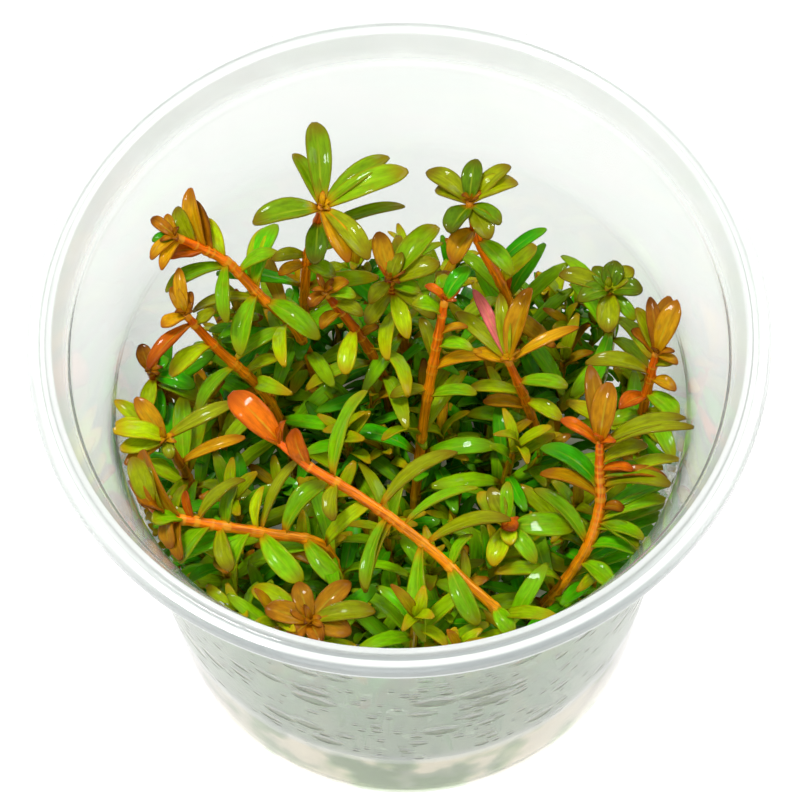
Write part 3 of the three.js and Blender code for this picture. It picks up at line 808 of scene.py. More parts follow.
# One joined mesh for each shoot, gathered leaf by leaf
class Gathered:
    """Corners, faces, material slots and stored values of one mesh in the making."""

    def __init__(self):
        self.points = []
        self.faces = []
        self.slots = []
        self.values = {"blade": [], "margin": [], "streak": [], "along": [], "across": []}
        self.count = 0

    def add(self, points, faces, slot, **values):
        self.faces.extend([[i + self.count for i in face] for face in faces])
        self.slots.extend([slot] * len(faces))
        self.points.append(points)
        self.count += len(points)
        for key, stored in self.values.items():
            stored.append(values[key])

    def piece(self, name, materials):
        mesh = bpy.data.meshes.new(name)
        mesh.from_pydata(np.concatenate(self.points) * MM, [], self.faces)
        for key in ("blade", "margin"):
            colours = np.concatenate(self.values[key])
            colours = np.concatenate([colours, np.ones((len(colours), 1))], axis=1)
            attribute = mesh.attributes.new(key, "FLOAT_COLOR", "POINT")
            attribute.data.foreach_set("color", colours.ravel())
        for key in ("along", "across"):
            attribute = mesh.attributes.new(key, "FLOAT", "POINT")
            attribute.data.foreach_set("value", np.concatenate(self.values[key]))
        attribute = mesh.attributes.new("streak", "FLOAT_VECTOR", "POINT")
        attribute.data.foreach_set("vector", np.concatenate(self.values["streak"]).ravel())
        for material in materials:
            mesh.materials.append(material)
        mesh.polygons.foreach_set("material_index", self.slots)
        mesh.polygons.foreach_set("use_smooth", [True] * len(self.faces))
        mesh.validate()
        mesh.update()
        return linked(name, mesh)


def linked(name, mesh):
    obj = bpy.data.objects.new(name, mesh)
    bpy.context.scene.collection.objects.link(obj)
    return obj


def add_leaf(gathered, leaf, form, step):
    """One leaf with its own shade of its tint."""
    template = FINE_LEAF if leaf.get("fine") else ORDINARY_LEAF
    points = leaf_points(template, leaf, form)
    blade, margin = [np.array(linear(code)) for code in LEAF_COLOURS[leaf["tint"]]]
    neighbour = np.array(linear(LEAF_COLOURS[leaf.get("towards", leaf["tint"])][0]))
    blade = blade + (neighbour - blade) * MOST_LEANING * step()
    shade = DARKEST_LEAF + LEAF_SHADE_SPREAD * step()
    size = len(points)
    grain = np.c_[
        template["across"] * 2.5 + 40 * step(), template["along"] * 3, np.full(size, 40 * step()),
    ]
    gathered.add(
        points, template["faces"], 1,
        blade=np.tile(blade * shade, (size, 1)), margin=np.tile(margin * shade, (size, 1)),
        streak=grain, along=template["along"], across=template["across"],
    )


def stem_tube(points, radii, resolution):
    """A closed tube along the points, made as a bevelled curve."""
    curve = bpy.data.curves.new("stem_way", "CURVE")
    curve.dimensions = "3D"
    curve.bevel_depth = 1
    curve.bevel_resolution = resolution
    curve.use_fill_caps = True
    spline = curve.splines.new("POLY")
    spline.points.add(len(points) - 1)
    spline.points.foreach_set("co", np.c_[points, np.ones(len(points))].ravel())
    spline.points.foreach_set("radius", radii)
    holder = bpy.data.objects.new("stem_way", curve)
    mesh = bpy.data.meshes.new_from_object(holder)
    bm = bmesh.new()
    bm.from_mesh(mesh)
    bmesh.ops.remove_doubles(bm, verts=bm.verts, dist=1e-4)
    bmesh.ops.recalc_face_normals(bm, faces=bm.faces)
    corners = np.array([v.co[:] for v in bm.verts])
    faces = [[v.index for v in face.verts] for face in bm.faces]
    bm.free()
    bpy.data.objects.remove(holder)
    bpy.data.curves.remove(curve)
    bpy.data.meshes.remove(mesh)
    return corners, faces


def add_stem(gathered, route, radius, nodes, colours, resolution, spacing):
    """A stem with a swelling and a pale ring at each node, coloured from foot to tip."""
    ring_reach = 0.4
    swelling = 0.2
    slimmer = 0.35
    slim_reach = 5
    streak_length = 14
    distances = np.linspace(0, route.length, max(4, int(route.length / spacing)))
    from_tip = route.length - distances
    nearest = np.min(np.abs(from_tip[:, None] - np.array(nodes)[None, :]), axis=1)
    ring = np.exp(-(nearest / ring_reach) ** 2)
    taper = 1 - slimmer * np.exp(-from_tip / slim_reach)
    places = route.places(distances)
    corners, faces = stem_tube(places, radius * taper * (1 + swelling * ring), resolution)
    closest = np.argmin(((corners[:, None, :] - places[None, :, :]) ** 2).sum(-1), axis=1)
    foot, middle, tip = [np.array(linear(code)) for code in colours]
    part = (distances / route.length)[:, None]
    # The foot's colour gives way to the middle's from a fifth up, and to the tip's in the last third
    lower = foot + (middle - foot) * np.clip((part - 0.2) / 0.4, 0, 1)
    shades = lower + (tip - lower) * np.clip((part - 0.65) / 0.35, 0, 1)
    round_it = (corners - places[closest]) / radius
    lengthwise = distances[closest] / streak_length
    gathered.add(
        corners, faces, 0,
        blade=shades[closest], margin=np.tile(linear(NODE_COLOUR), (len(corners), 1)),
        streak=np.c_[round_it[:, 0], round_it[:, 1], lengthwise],
        along=distances[closest], across=ring[closest],
    )


# Growing the shoots
def ordinary_tint(leaf, step):
    """A leaf's tint and the one it may lean towards: young leaves are lime or amber, older ones
    mostly green, and the ones deep in the cup deep green."""
    young = 2.5
    deep_below = 36
    pick = step()
    if leaf["from_tip"] < young:
        return ("amber", "olive") if pick < 0.3 else ("lime", "olive")
    if leaf["base"][2] < deep_below:
        return ("deep", "grass")
    return next(tints for share, tints in UPPER_TINTS if pick < share)


def fit_leaf(leaf, room, owner, step, tries):
    """A form for the leaf where it passes through nothing, or None. After each try that fails it
    is turned and its tip moved a little."""
    for _ in range(tries):
        form = leaf_form(step, leaf["from_tip"] < YOUNG_UNTIL)
        points = leaf_points(LEAF_ROOM, leaf, form)
        if room.taken(points, owner) <= ROOM_SHARED:
            room.take(points, owner)
            return form
        leaf["twist"] += (step() - 0.5) * 1.2
        spread = np.array([step() - 0.5, step() - 0.5, step() - 0.3]) * 4
        leaf["tip"] = kept_inside(leaf["tip"] + spread, WALL_CLEARANCE)
    return None


def stem_nodes(leaves):
    """Distances of the stem's nodes from its tip: where its leaves stand."""
    return sorted({round(leaf["from_tip"], 2) for leaf in leaves}) or [0]


def grow_all():
    """Every shoot's leaves, placed ones first, then the ordinary ones and the side shoots."""
    stems = [dict(shoot, seed=i + 1, radius=HERO_STEM_RADIUS) for i, shoot in enumerate(SHOOTS)]
    stems += green_stems()
    room = Room()
    for stem in stems:
        x, y = stem["foot"]
        start = [(x, y, FOOT_HEIGHT), (x, y, GEL_TOP + 2)]
        stem["route"] = Route(start + stem["points"])
        stem["gathered"] = Gathered()
        way = stem["route"].places(np.arange(0, stem["route"].length, ROOM_CELL / 2))
        room.take(way, stem["name"] + "_stem")
    for stem in stems:
        step = number_sequence(SEEDS["placed_forms"] + stem["seed"])
        stem["grown"] = placed_leaves(stem["route"], stem["leaves"])
        for leaf in stem["grown"]:
            form = leaf_form(step, False)
            form["turn"] *= PLACED_TURN
            room.take(leaf_points(LEAF_ROOM, leaf, form), stem["name"])
            add_leaf(stem["gathered"], leaf, form, step)
    for stem in stems:
        grow_ordinary(stem, room)
    for stem in stems:
        grow_sides(stem, room)
    return stems


def grow_ordinary(stem, room):
    """A shoot's ordinary leaves in pairs, its leaves at the wall and its bud."""
    bare_above_gel = 3.5
    step = number_sequence(SEEDS["ordinary_forms"] + stem["seed"])
    route = stem["route"]
    end = route.length - (GEL_TOP + bare_above_gel - FOOT_HEIGHT)
    leaves = paired_leaves(
        route, stem["seed"], stem["bare_from"], end, PAIR_SPACING, LEAF_LENGTH, LEAF_WIDTH,
    )
    stem["pairs"] = leaves
    for leaf in leaves:
        leaf["tint"], leaf["towards"] = ordinary_tint(leaf, step)
        form = fit_leaf(leaf, room, stem["name"], step, 4)
        if form:
            stem["grown"].append(leaf)
            add_leaf(stem["gathered"], leaf, form, step)
    grow_at_wall(stem, room)
    tint, size = stem.get("bud", ("olive", 2.2))
    for leaf in bud_leaves(route, stem["seed"], tint, size, 4):
        add_leaf(stem["gathered"], leaf, leaf_form(step, True), step)


def grow_at_wall(stem, room):
    """The leaves that an outer shoot presses against the front wall."""
    step = number_sequence(SEEDS["wall_forms"] + stem["seed"])
    x, y = stem["foot"]
    if y > FRONT_FOOT or math.hypot(x, y) < OUTER_FOOT_RADIUS:
        return
    for leaf in wall_leaves(stem["route"], SEEDS["wall_leaves"] + stem["seed"]):
        leaf["tint"], leaf["towards"] = ("deep", "grass") if step() < 0.6 else ("grass", "green")
        form = leaf_form(step, False)
        form["turn"] = 0
        points = leaf_points(LEAF_ROOM, leaf, form)
        if room.taken(points, stem["name"]) > ROOM_SHARED:
            continue
        room.take(points, stem["name"])
        stem["grown"].append(leaf)
        add_leaf(stem["gathered"], leaf, form, step)


def grow_sides(stem, room):
    """A shoot's side shoots, where there is room for them."""
    step = number_sequence(SEEDS["side_forms"] + stem["seed"])
    count = PLACED_SIDE_SHOOTS if stem["leaves"] else ORDINARY_SIDE_SHOOTS
    routes = side_shoots(stem["pairs"], SEEDS["side_routes"] + stem["seed"], count)
    for k, route in enumerate(routes):
        way = route.places(np.arange(2, route.length, ROOM_CELL / 2))
        if room.taken(way, stem["name"]) > WAY_SHARED:
            continue
        room.take(way, stem["name"])
        seed = SEEDS["side_leaves"] + stem["seed"] * 10 + k
        leaves = paired_leaves(
            route, seed, FIRST_PAIR_AT, route.length - 2,
            SIDE_PAIR_SPACING, SIDE_LEAF_LENGTH, SIDE_LEAF_WIDTH,
        )
        for leaf in leaves:
            leaf["tint"], leaf["towards"] = ordinary_tint(leaf, step)
            form = fit_leaf(leaf, room, stem["name"], step, 3)
            if form:
                add_leaf(stem["gathered"], leaf, form, step)
        for leaf in bud_leaves(route, seed, "lime", 2, 2):
            add_leaf(stem["gathered"], leaf, leaf_form(step, True), step)
        colours = STEM_COLOURS["green"]
        nodes = stem_nodes(leaves)
        add_stem(stem["gathered"], route, GREEN_STEM_RADIUS * 0.75, nodes, colours, 1, 1.2)


# Cup and gel: turned profiles
def turned(name, profile, steps):
    """A profile of radius and height, spun round the cup's axis into a closed solid."""
    bm = bmesh.new()
    verts = [bm.verts.new((r * MM, 0, z * MM)) for r, z in profile]
    edges = [bm.edges.new(pair) for pair in zip(verts, verts[1:])]
    bmesh.ops.spin(
        bm, geom=verts + edges, cent=(0, 0, 0), axis=(0, 0, 1), angle=math.tau,
        steps=steps, use_merge=True, use_duplicate=False,
    )
    bmesh.ops.remove_doubles(bm, verts=bm.verts, dist=1e-7)
    bmesh.ops.recalc_face_normals(bm, faces=bm.faces)
    for face in bm.faces:
        face.smooth = True
    mesh = bpy.data.meshes.new(name)
    bm.to_mesh(mesh)
    bm.free()
    return linked(name, mesh)


def divided(points):
    """A profile with its long runs cut up, so that the shading of a corner stays at the corner."""
    longest = 2.5
    near_end = 0.2
    result = [points[0]]
    for before, after in zip(points, points[1:]):
        p, q = np.array(before, float), np.array(after, float)
        length = np.linalg.norm(q - p)
        if length > 1:
            inner = np.linspace(near_end, length - near_end, 2 + int(length / longest))
            result.extend(tuple(p + (q - p) * d / length) for d in inner)
        result.append(after)
    return result


def rounded(points, radius, steps=4):
    """A profile with each inner corner rounded by up to the radius."""
    most_of_run = 0.45
    result = [points[0]]
    for before, corner, after in zip(points, points[1:], points[2:]):
        p, q, r = [np.array(v[:2], float) for v in (before, corner, after)]
        shorter = min(np.linalg.norm(p - q), np.linalg.norm(r - q))
        reach = min(radius, shorter * most_of_run)
        start = q + unit(p - q) * reach
        end = q + unit(r - q) * reach
        for t in np.linspace(0, 1, steps + 1):
            place = (1 - t) ** 2 * start + 2 * t * (1 - t) * q + t ** 2 * end
            result.append(tuple(place))
    result.append(points[-1])
    return divided(result)


def flare(out):
    """The wall's upper end, which curves out from its even taper to the lid's seat."""
    lower = SHOULDER_HEIGHT - 8
    upper = LEDGE_HEIGHT - 0.6
    top_radius = SEAT_INNER - 0.45
    taper = 0.0725
    sweep = 1.7
    result = []
    for part in np.linspace(0, 1, 17):
        z = lower + (upper - lower) * part
        even = float(inside_radius(lower)) + (z - lower) * taper
        result.append((even + (top_radius - even) * part ** sweep + out, z))
    return result


def cup_profile():
    """Foot ring, tapering wall, flared shoulder, lid's seat, grooved flange and its skirt."""
    push_up = 0.8
    foot_inner = 29
    foot_outer = 34.4
    under_seat = 45.9
    flange_under = CUP_HEIGHT - 1.1
    skirt_inner = RIM_RADIUS - 0.9
    skirt_bottom = CUP_HEIGHT - SKIRT_DEPTH
    edge = 0.6
    groove_half = 0.45
    groove_depth = 0.7
    return rounded([
        (0, push_up),
        (foot_inner - 1, push_up),
        (foot_inner, 0),
        (foot_outer, 0),
        (BASE_RADIUS, BASE_CORNER),
        *flare(WALL),
        (under_seat, LEDGE_HEIGHT + 0.5),
        (LIP_RADIUS + 0.8, flange_under),
        (skirt_inner, flange_under),
        (skirt_inner, skirt_bottom),
        (RIM_RADIUS, skirt_bottom),
        (RIM_RADIUS, CUP_HEIGHT - edge),
        (RIM_RADIUS - edge, CUP_HEIGHT - 0.1),
        (GROOVE_RADIUS + groove_half, CUP_HEIGHT - 0.1),
        (GROOVE_RADIUS + groove_half - 0.1, CUP_HEIGHT - groove_depth),
        (GROOVE_RADIUS - groove_half + 0.1, CUP_HEIGHT - groove_depth),
        (GROOVE_RADIUS - groove_half, CUP_HEIGHT),
        (LIP_RADIUS, CUP_HEIGHT),
        (SEAT_INNER, LEDGE_HEIGHT + 0.6),
        (SEAT_INNER - 0.4, LEDGE_HEIGHT),
        *reversed(flare(0)),
        (BASE_RADIUS - WALL, BASE_CORNER + 0.6),
        (BASE_RADIUS - FLOOR_CORNER, FLOOR_TOP),
        (0, FLOOR_TOP),
    ], 0.3)


def gel_profile():
    """A disc of gel that fills the bottom of the cup and climbs a little at the wall."""
    gap = 0.3
    bottom = FLOOR_TOP + gap
    climb = 0.7
    wall_at_top = float(inside_radius(GEL_TOP)) - gap
    return rounded([
        (0, bottom),
        (BASE_RADIUS - FLOOR_CORNER - gap, bottom),
        (float(inside_radius(BASE_CORNER + 1)) - gap, BASE_CORNER + 1),
        (wall_at_top, GEL_TOP),
        (wall_at_top - 0.3, GEL_TOP - 0.05),
        (wall_at_top - 1.6, GEL_TOP - climb),
        (0, GEL_TOP - climb),
    ], 0.8)


# Condensation on the inside of the cup
def drop_template():
    """A bead with a flat back and a radius of one millimetre."""
    bm = bmesh.new()
    dome = 0.5
    back = 0.08
    bmesh.ops.create_uvsphere(bm, u_segments=12, v_segments=8, radius=1)
    for vert in bm.verts:
        vert.co.z *= dome if vert.co.z > 0 else back
    corners = np.array([v.co[:] for v in bm.verts])
    faces = [[v.index for v in face.verts] for face in bm.faces]
    bm.free()
    return corners, faces


def drop_places():
    """Each drop's angle round the cup, height, radius and stretch: the large ones where the photo
    shows them, and many small ones between."""
    front = -90
    spread = 150
    lowest = 22
    rise = 46
    large = [
        (-93, 43.5, 1.2, 1.3), (-80, 48, 1.1, 1.3), (-76, 47.5, 1.1, 1.2), (-69, 45.5, 1.0, 1.3),
        (-89, 53.5, 1.0, 1.1), (-99, 50, 0.8, 1.2), (-104, 44, 0.8, 1.3), (-111, 52.5, 0.9, 1.2),
        (-106, 51.5, 0.9, 1.1), (-110, 46, 0.8, 1.3), (-61, 44.5, 0.9, 1.2), (-71, 37.5, 0.9, 1.1),
        (-86, 44, 0.9, 1.2), (-97, 24.5, 0.8, 1.4), (-58, 50, 0.8, 1.1), (-84, 36, 0.8, 1.2),
        (-65, 52, 0.8, 1.3), (-116, 40, 0.7, 1.2), (-91, 32, 0.7, 1.3), (-77, 29, 0.8, 1.2),
    ]
    step = number_sequence(SEEDS["drops"])
    small = []
    for _ in range(SMALL_DROPS):
        angle = front + (step() - 0.5) * spread
        height = lowest + rise * step()
        small.append((angle, height, 0.15 + 0.5 * step() ** 3, 1 + 0.6 * step()))
    return large + small


def condensation(material):
    """All the drops as one mesh, each with its flat back just off the wall."""
    wall_lean = 0.07
    back_depth = 0.12
    gap = 0.03
    corners, faces = drop_template()
    points = []
    all_faces = []
    count = 0
    for angle, height, radius, stretch in drop_places():
        turn = math.radians(angle)
        inward = unit(np.array([-math.cos(turn), -math.sin(turn), wall_lean]))
        around = np.array([-math.sin(turn), math.cos(turn), 0])
        up = np.cross(inward, around)
        reach = float(inside_radius(height)) - back_depth * radius - gap
        centre = np.array([math.cos(turn) * reach, math.sin(turn) * reach, height])
        size = corners * radius
        placed = centre + np.outer(size[:, 0] * stretch, around) + np.outer(size[:, 1], up)
        points.append(placed + np.outer(size[:, 2], inward))
        all_faces.extend([[i + count for i in face] for face in faces])
        count += len(corners)
    mesh = bpy.data.meshes.new("condensation_drops")
    mesh.from_pydata(np.concatenate(points) * MM, [], all_faces)
    mesh.polygons.foreach_set("use_smooth", [True] * len(all_faces))
    mesh.materials.append(material)
    bm = bmesh.new()
    bm.from_mesh(mesh)
    bmesh.ops.recalc_face_normals(bm, faces=bm.faces)
    bm.to_mesh(mesh)
    bm.free()
    return linked("condensation_drops", mesh)


# Materials
def new_material(name):
    """A material with its shader, and the shader's node tree."""
    material = bpy.data.materials.new(name)
    material.use_nodes = True
    tree = material.node_tree
    return material, tree, tree.nodes["Principled BSDF"]


def node(tree, kind, settings=None, inputs=None):
    """A node with its settings; an input is a plain value or the output that feeds it."""
    made = tree.nodes.new(kind)
    for key, value in (settings or {}).items():
        setattr(made, key, value)
    for key, value in (inputs or {}).items():
        if isinstance(value, bpy.types.NodeSocket):
            tree.links.new(value, made.inputs[key])
        else:
            made.inputs[key].default_value = value
    return made


def set_shader(shader, values):
    """Values that are the same all over the surface, on the shader's own sockets."""
    for key, value in values.items():
        shader.inputs[key].default_value = value


def fresh_leaf():
    """Living leaf blade: waxy and wet-looking, veined lengthwise, with a paler midrib, and
    darker at its margin, at its tip and in patches."""
    material, tree, shader = new_material("fresh_leaf_blade")
    blade = node(tree, "ShaderNodeAttribute", {"attribute_name": "blade"}).outputs["Color"]
    margin = node(tree, "ShaderNodeAttribute", {"attribute_name": "margin"}).outputs["Color"]
    along = node(tree, "ShaderNodeAttribute", {"attribute_name": "along"}).outputs["Fac"]
    across = node(tree, "ShaderNodeAttribute", {"attribute_name": "across"}).outputs["Fac"]
    place = node(tree, "ShaderNodeTexCoord").outputs["Object"]
    off_middle = node(tree, "ShaderNodeMath", {"operation": "ABSOLUTE"}, {0: across}).outputs[0]
    # Veins and uneven growth run lengthwise, a few to each leaf
    grain = node(tree, "ShaderNodeAttribute", {"attribute_name": "streak"}).outputs["Vector"]
    veins = node(
        tree, "ShaderNodeTexNoise", None,
        {"Vector": grain, "Scale": 1.6, "Detail": 3.0, "Roughness": 0.6},
    ).outputs["Fac"]
    shade = node(
        tree, "ShaderNodeMapRange", None,
        {"Value": veins, "From Min": 0.3, "From Max": 0.7, "To Min": 0.75, "To Max": 1.3},
    ).outputs["Result"]
    veined = node(
        tree, "ShaderNodeMix", {"data_type": "RGBA", "blend_type": "MULTIPLY"},
        {"Factor": 1.0, "A": blade, "B": shade},
    ).outputs["Result"]
    # Blush: patches of the margin's colour, over about two millimetres
    patches = node(
        tree, "ShaderNodeTexNoise", None,
        {"Vector": place, "Scale": 1 / (2 * MM), "Detail": 2.0, "Roughness": 0.6},
    ).outputs["Fac"]
    blush = node(
        tree, "ShaderNodeMapRange", {"interpolation_type": "SMOOTHSTEP"},
        {"Value": patches, "From Min": 0.5, "From Max": 0.75, "To Min": 0.0, "To Max": 0.35},
    ).outputs["Result"]
    toned = node(
        tree, "ShaderNodeMix", {"data_type": "RGBA"}, {"Factor": blush, "A": veined, "B": margin},
    ).outputs["Result"]
    # Margin: it starts three quarters of the way out, and takes all of the blade at the tip
    edge_part = node(
        tree, "ShaderNodeMapRange", {"interpolation_type": "SMOOTHSTEP"},
        {"Value": off_middle, "From Min": 0.72, "From Max": 1.0, "To Min": 0.0, "To Max": 0.6},
    ).outputs["Result"]
    tip_part = node(
        tree, "ShaderNodeMapRange", {"interpolation_type": "SMOOTHSTEP"},
        {"Value": along, "From Min": 0.7, "From Max": 1.02, "To Min": 0.0, "To Max": 0.9},
    ).outputs["Result"]
    rim = node(
        tree, "ShaderNodeMath", {"operation": "MAXIMUM"}, {0: edge_part, 1: tip_part},
    ).outputs[0]
    rimmed = node(
        tree, "ShaderNodeMix", {"data_type": "RGBA"}, {"Factor": rim, "A": toned, "B": margin},
    ).outputs["Result"]
    # Midrib: a pale line that fades out before the tip
    rib_line = node(
        tree, "ShaderNodeMapRange", {"interpolation_type": "SMOOTHSTEP"},
        {"Value": off_middle, "From Min": 0.0, "From Max": 0.14, "To Min": 0.35, "To Max": 0.0},
    ).outputs["Result"]
    rib_fade = node(
        tree, "ShaderNodeMapRange", None,
        {"Value": along, "From Min": 0.4, "From Max": 0.9, "To Min": 1.0, "To Max": 0.0},
    ).outputs["Result"]
    rib = node(
        tree, "ShaderNodeMath", {"operation": "MULTIPLY"}, {0: rib_line, 1: rib_fade},
    ).outputs[0]
    ribbed = node(
        tree, "ShaderNodeMix", {"data_type": "RGBA"},
        {"Factor": rib, "A": rimmed, "B": linear4(MIDRIB_COLOUR)},
    ).outputs["Result"]
    # Foot of the leaf takes the stem's orange
    foot_part = node(
        tree, "ShaderNodeMapRange", {"interpolation_type": "SMOOTHSTEP"},
        {"Value": along, "From Min": 0.05, "From Max": 0.26, "To Min": 0.75, "To Max": 0.0},
    ).outputs["Result"]
    coloured = node(
        tree, "ShaderNodeMix", {"data_type": "RGBA"},
        {"Factor": foot_part, "A": ribbed, "B": linear4(PETIOLE_COLOUR)},
    ).outputs["Result"]
    tree.links.new(coloured, shader.inputs["Base Color"])
    # Skin cells, drawn at several times their size so that they show in the gloss
    skin = node(
        tree, "ShaderNodeTexNoise", None,
        {"Vector": place, "Scale": 1 / (0.5 * MM), "Detail": 1.0, "Roughness": 0.5},
    ).outputs["Fac"]
    bump = node(
        tree, "ShaderNodeBump", None,
        {"Height": skin, "Strength": 0.35, "Distance": 0.06 * MM},
    ).outputs["Normal"]
    tree.links.new(bump, shader.inputs["Normal"])
    set_shader(shader, {
        "Roughness": 0.5, "IOR": 1.4, "Specular IOR Level": 0.05, "Coat Weight": 0.25,
        "Coat Roughness": 0.05, "Coat IOR": 1.4,
    })
    return material


def fresh_stem():
    """Living stem: smooth and juicy, streaked lengthwise, pale at each node."""
    material, tree, shader = new_material("fresh_juicy_stem")
    bark = node(tree, "ShaderNodeAttribute", {"attribute_name": "blade"}).outputs["Color"]
    node_colour = node(tree, "ShaderNodeAttribute", {"attribute_name": "margin"}).outputs["Color"]
    ring = node(tree, "ShaderNodeAttribute", {"attribute_name": "across"}).outputs["Fac"]
    streak = node(tree, "ShaderNodeAttribute", {"attribute_name": "streak"}).outputs["Vector"]
    mottle = node(
        tree, "ShaderNodeTexNoise", None,
        {"Vector": streak, "Scale": 2.6, "Detail": 3.0, "Roughness": 0.65},
    ).outputs["Fac"]
    shade = node(
        tree, "ShaderNodeMapRange", None,
        {"Value": mottle, "From Min": 0.35, "From Max": 0.65, "To Min": 0.6, "To Max": 1.4},
    ).outputs["Result"]
    patches = node(
        tree, "ShaderNodeTexNoise", None,
        {"Vector": streak, "Scale": 1.4, "Detail": 2.0, "Roughness": 0.5},
    ).outputs["Fac"]
    flush = node(
        tree, "ShaderNodeMapRange", {"interpolation_type": "SMOOTHSTEP"},
        {"Value": patches, "From Min": 0.45, "From Max": 0.65, "To Min": 0.0, "To Max": 0.45},
    ).outputs["Result"]
    flushed = node(
        tree, "ShaderNodeMix", {"data_type": "RGBA"},
        {"Factor": flush, "A": bark, "B": linear4(FLUSH_COLOUR)},
    ).outputs["Result"]
    toned = node(
        tree, "ShaderNodeMix", {"data_type": "RGBA", "blend_type": "MULTIPLY"},
        {"Factor": 1.0, "A": flushed, "B": shade},
    ).outputs["Result"]
    ring_part = node(
        tree, "ShaderNodeMapRange", {"interpolation_type": "SMOOTHSTEP"},
        {"Value": ring, "From Min": 0.5, "From Max": 1.0, "To Min": 0.0, "To Max": 0.5},
    ).outputs["Result"]
    coloured = node(
        tree, "ShaderNodeMix", {"data_type": "RGBA"},
        {"Factor": ring_part, "A": toned, "B": node_colour},
    ).outputs["Result"]
    tree.links.new(coloured, shader.inputs["Base Color"])
    bump = node(
        tree, "ShaderNodeBump", None,
        {"Height": mottle, "Strength": 0.4, "Distance": 0.08 * MM},
    ).outputs["Normal"]
    tree.links.new(bump, shader.inputs["Normal"])
    set_shader(shader, {
        "Roughness": 0.4, "IOR": 1.4, "Specular IOR Level": 0.05, "Coat Weight": 0.35,
        "Coat Roughness": 0.05,
    })
    return material


def beads(tree, around, up, width, height, rarity):
    """Flat beads in cells of the given width and height, fewer with more rarity: how deep inside
    a bead each place is, less than nothing outside."""
    across, along = [
        node(tree, "ShaderNodeMath", {"operation": "DIVIDE"}, {0: value, 1: size * MM}).outputs[0]
        for value, size in ((around, width), (up, height))
    ]
    unrolled = node(tree, "ShaderNodeCombineXYZ", None, {"X": across, "Y": along}).outputs["Vector"]
    cells = node(
        tree, "ShaderNodeTexVoronoi", {"voronoi_dimensions": "2D"},
        {"Vector": unrolled, "Scale": 1.0, "Randomness": 0.9},
    )
    size = node(
        tree, "ShaderNodeMapRange", None,
        {
            "Value": cells.outputs["Color"], "From Min": rarity, "From Max": 1.0,
            "To Min": 0.0, "To Max": 0.53,
        },
    ).outputs["Result"]
    return node(
        tree, "ShaderNodeMath", {"operation": "SUBTRACT"}, {0: size, 1: cells.outputs["Distance"]},
    ).outputs[0]


def mist_and_beads(tree, x, y, z):
    """How misted the inside of the front wall is, where the mist has run together into flat
    beads, and the beads' domed form; each from nothing to one."""
    wall_radius = 39
    # The front wall unrolled: how far round it a place is, at its middle radius
    turn = node(tree, "ShaderNodeMath", {"operation": "ARCTAN2"}, {0: y, 1: x}).outputs[0]
    around = node(
        tree, "ShaderNodeMath", {"operation": "MULTIPLY"}, {0: turn, 1: wall_radius * MM},
    ).outputs[0]
    above_gel = node(
        tree, "ShaderNodeMapRange", {"interpolation_type": "SMOOTHSTEP"},
        {"Value": z, "From Min": 20 * MM, "From Max": 24 * MM, "To Min": 0.0, "To Max": 1.0},
    ).outputs["Result"]
    below_top = node(
        tree, "ShaderNodeMapRange", {"interpolation_type": "SMOOTHSTEP"},
        {"Value": z, "From Min": 54 * MM, "From Max": 66 * MM, "To Min": 1.0, "To Max": 0.0},
    ).outputs["Result"]
    in_height = node(
        tree, "ShaderNodeMath", {"operation": "MULTIPLY"}, {0: above_gel, 1: below_top},
    ).outputs[0]
    front = node(
        tree, "ShaderNodeMapRange", {"interpolation_type": "SMOOTHSTEP"},
        {"Value": y, "From Min": -20 * MM, "From Max": -10 * MM, "To Min": 1.0, "To Max": 0.0},
    ).outputs["Result"]
    misted = node(
        tree, "ShaderNodeMath", {"operation": "MULTIPLY"}, {0: in_height, 1: front},
    ).outputs[0]
    large = beads(tree, around, z, 8.0, 4.5, 0.35)
    small = beads(tree, around, z, 2.8, 2.2, 0.5)
    deepest = node(tree, "ShaderNodeMath", {"operation": "MAXIMUM"}, {0: large, 1: small}).outputs[0]
    inside = node(
        tree, "ShaderNodeMapRange", {"interpolation_type": "SMOOTHSTEP"},
        {"Value": deepest, "From Min": -0.03, "From Max": 0.05, "To Min": 0.0, "To Max": 1.0},
    ).outputs["Result"]
    domed = node(
        tree, "ShaderNodeMapRange", {"interpolation_type": "SMOOTHSTEP"},
        {"Value": deepest, "From Min": -0.03, "From Max": 0.2, "To Min": 0.0, "To Max": 1.0},
    ).outputs["Result"]
    wet, dome = [
        node(tree, "ShaderNodeMath", {"operation": "MULTIPLY"}, {0: value, 1: misted}).outputs[0]
        for value in (inside, domed)
    ]
    return misted, wet, dome


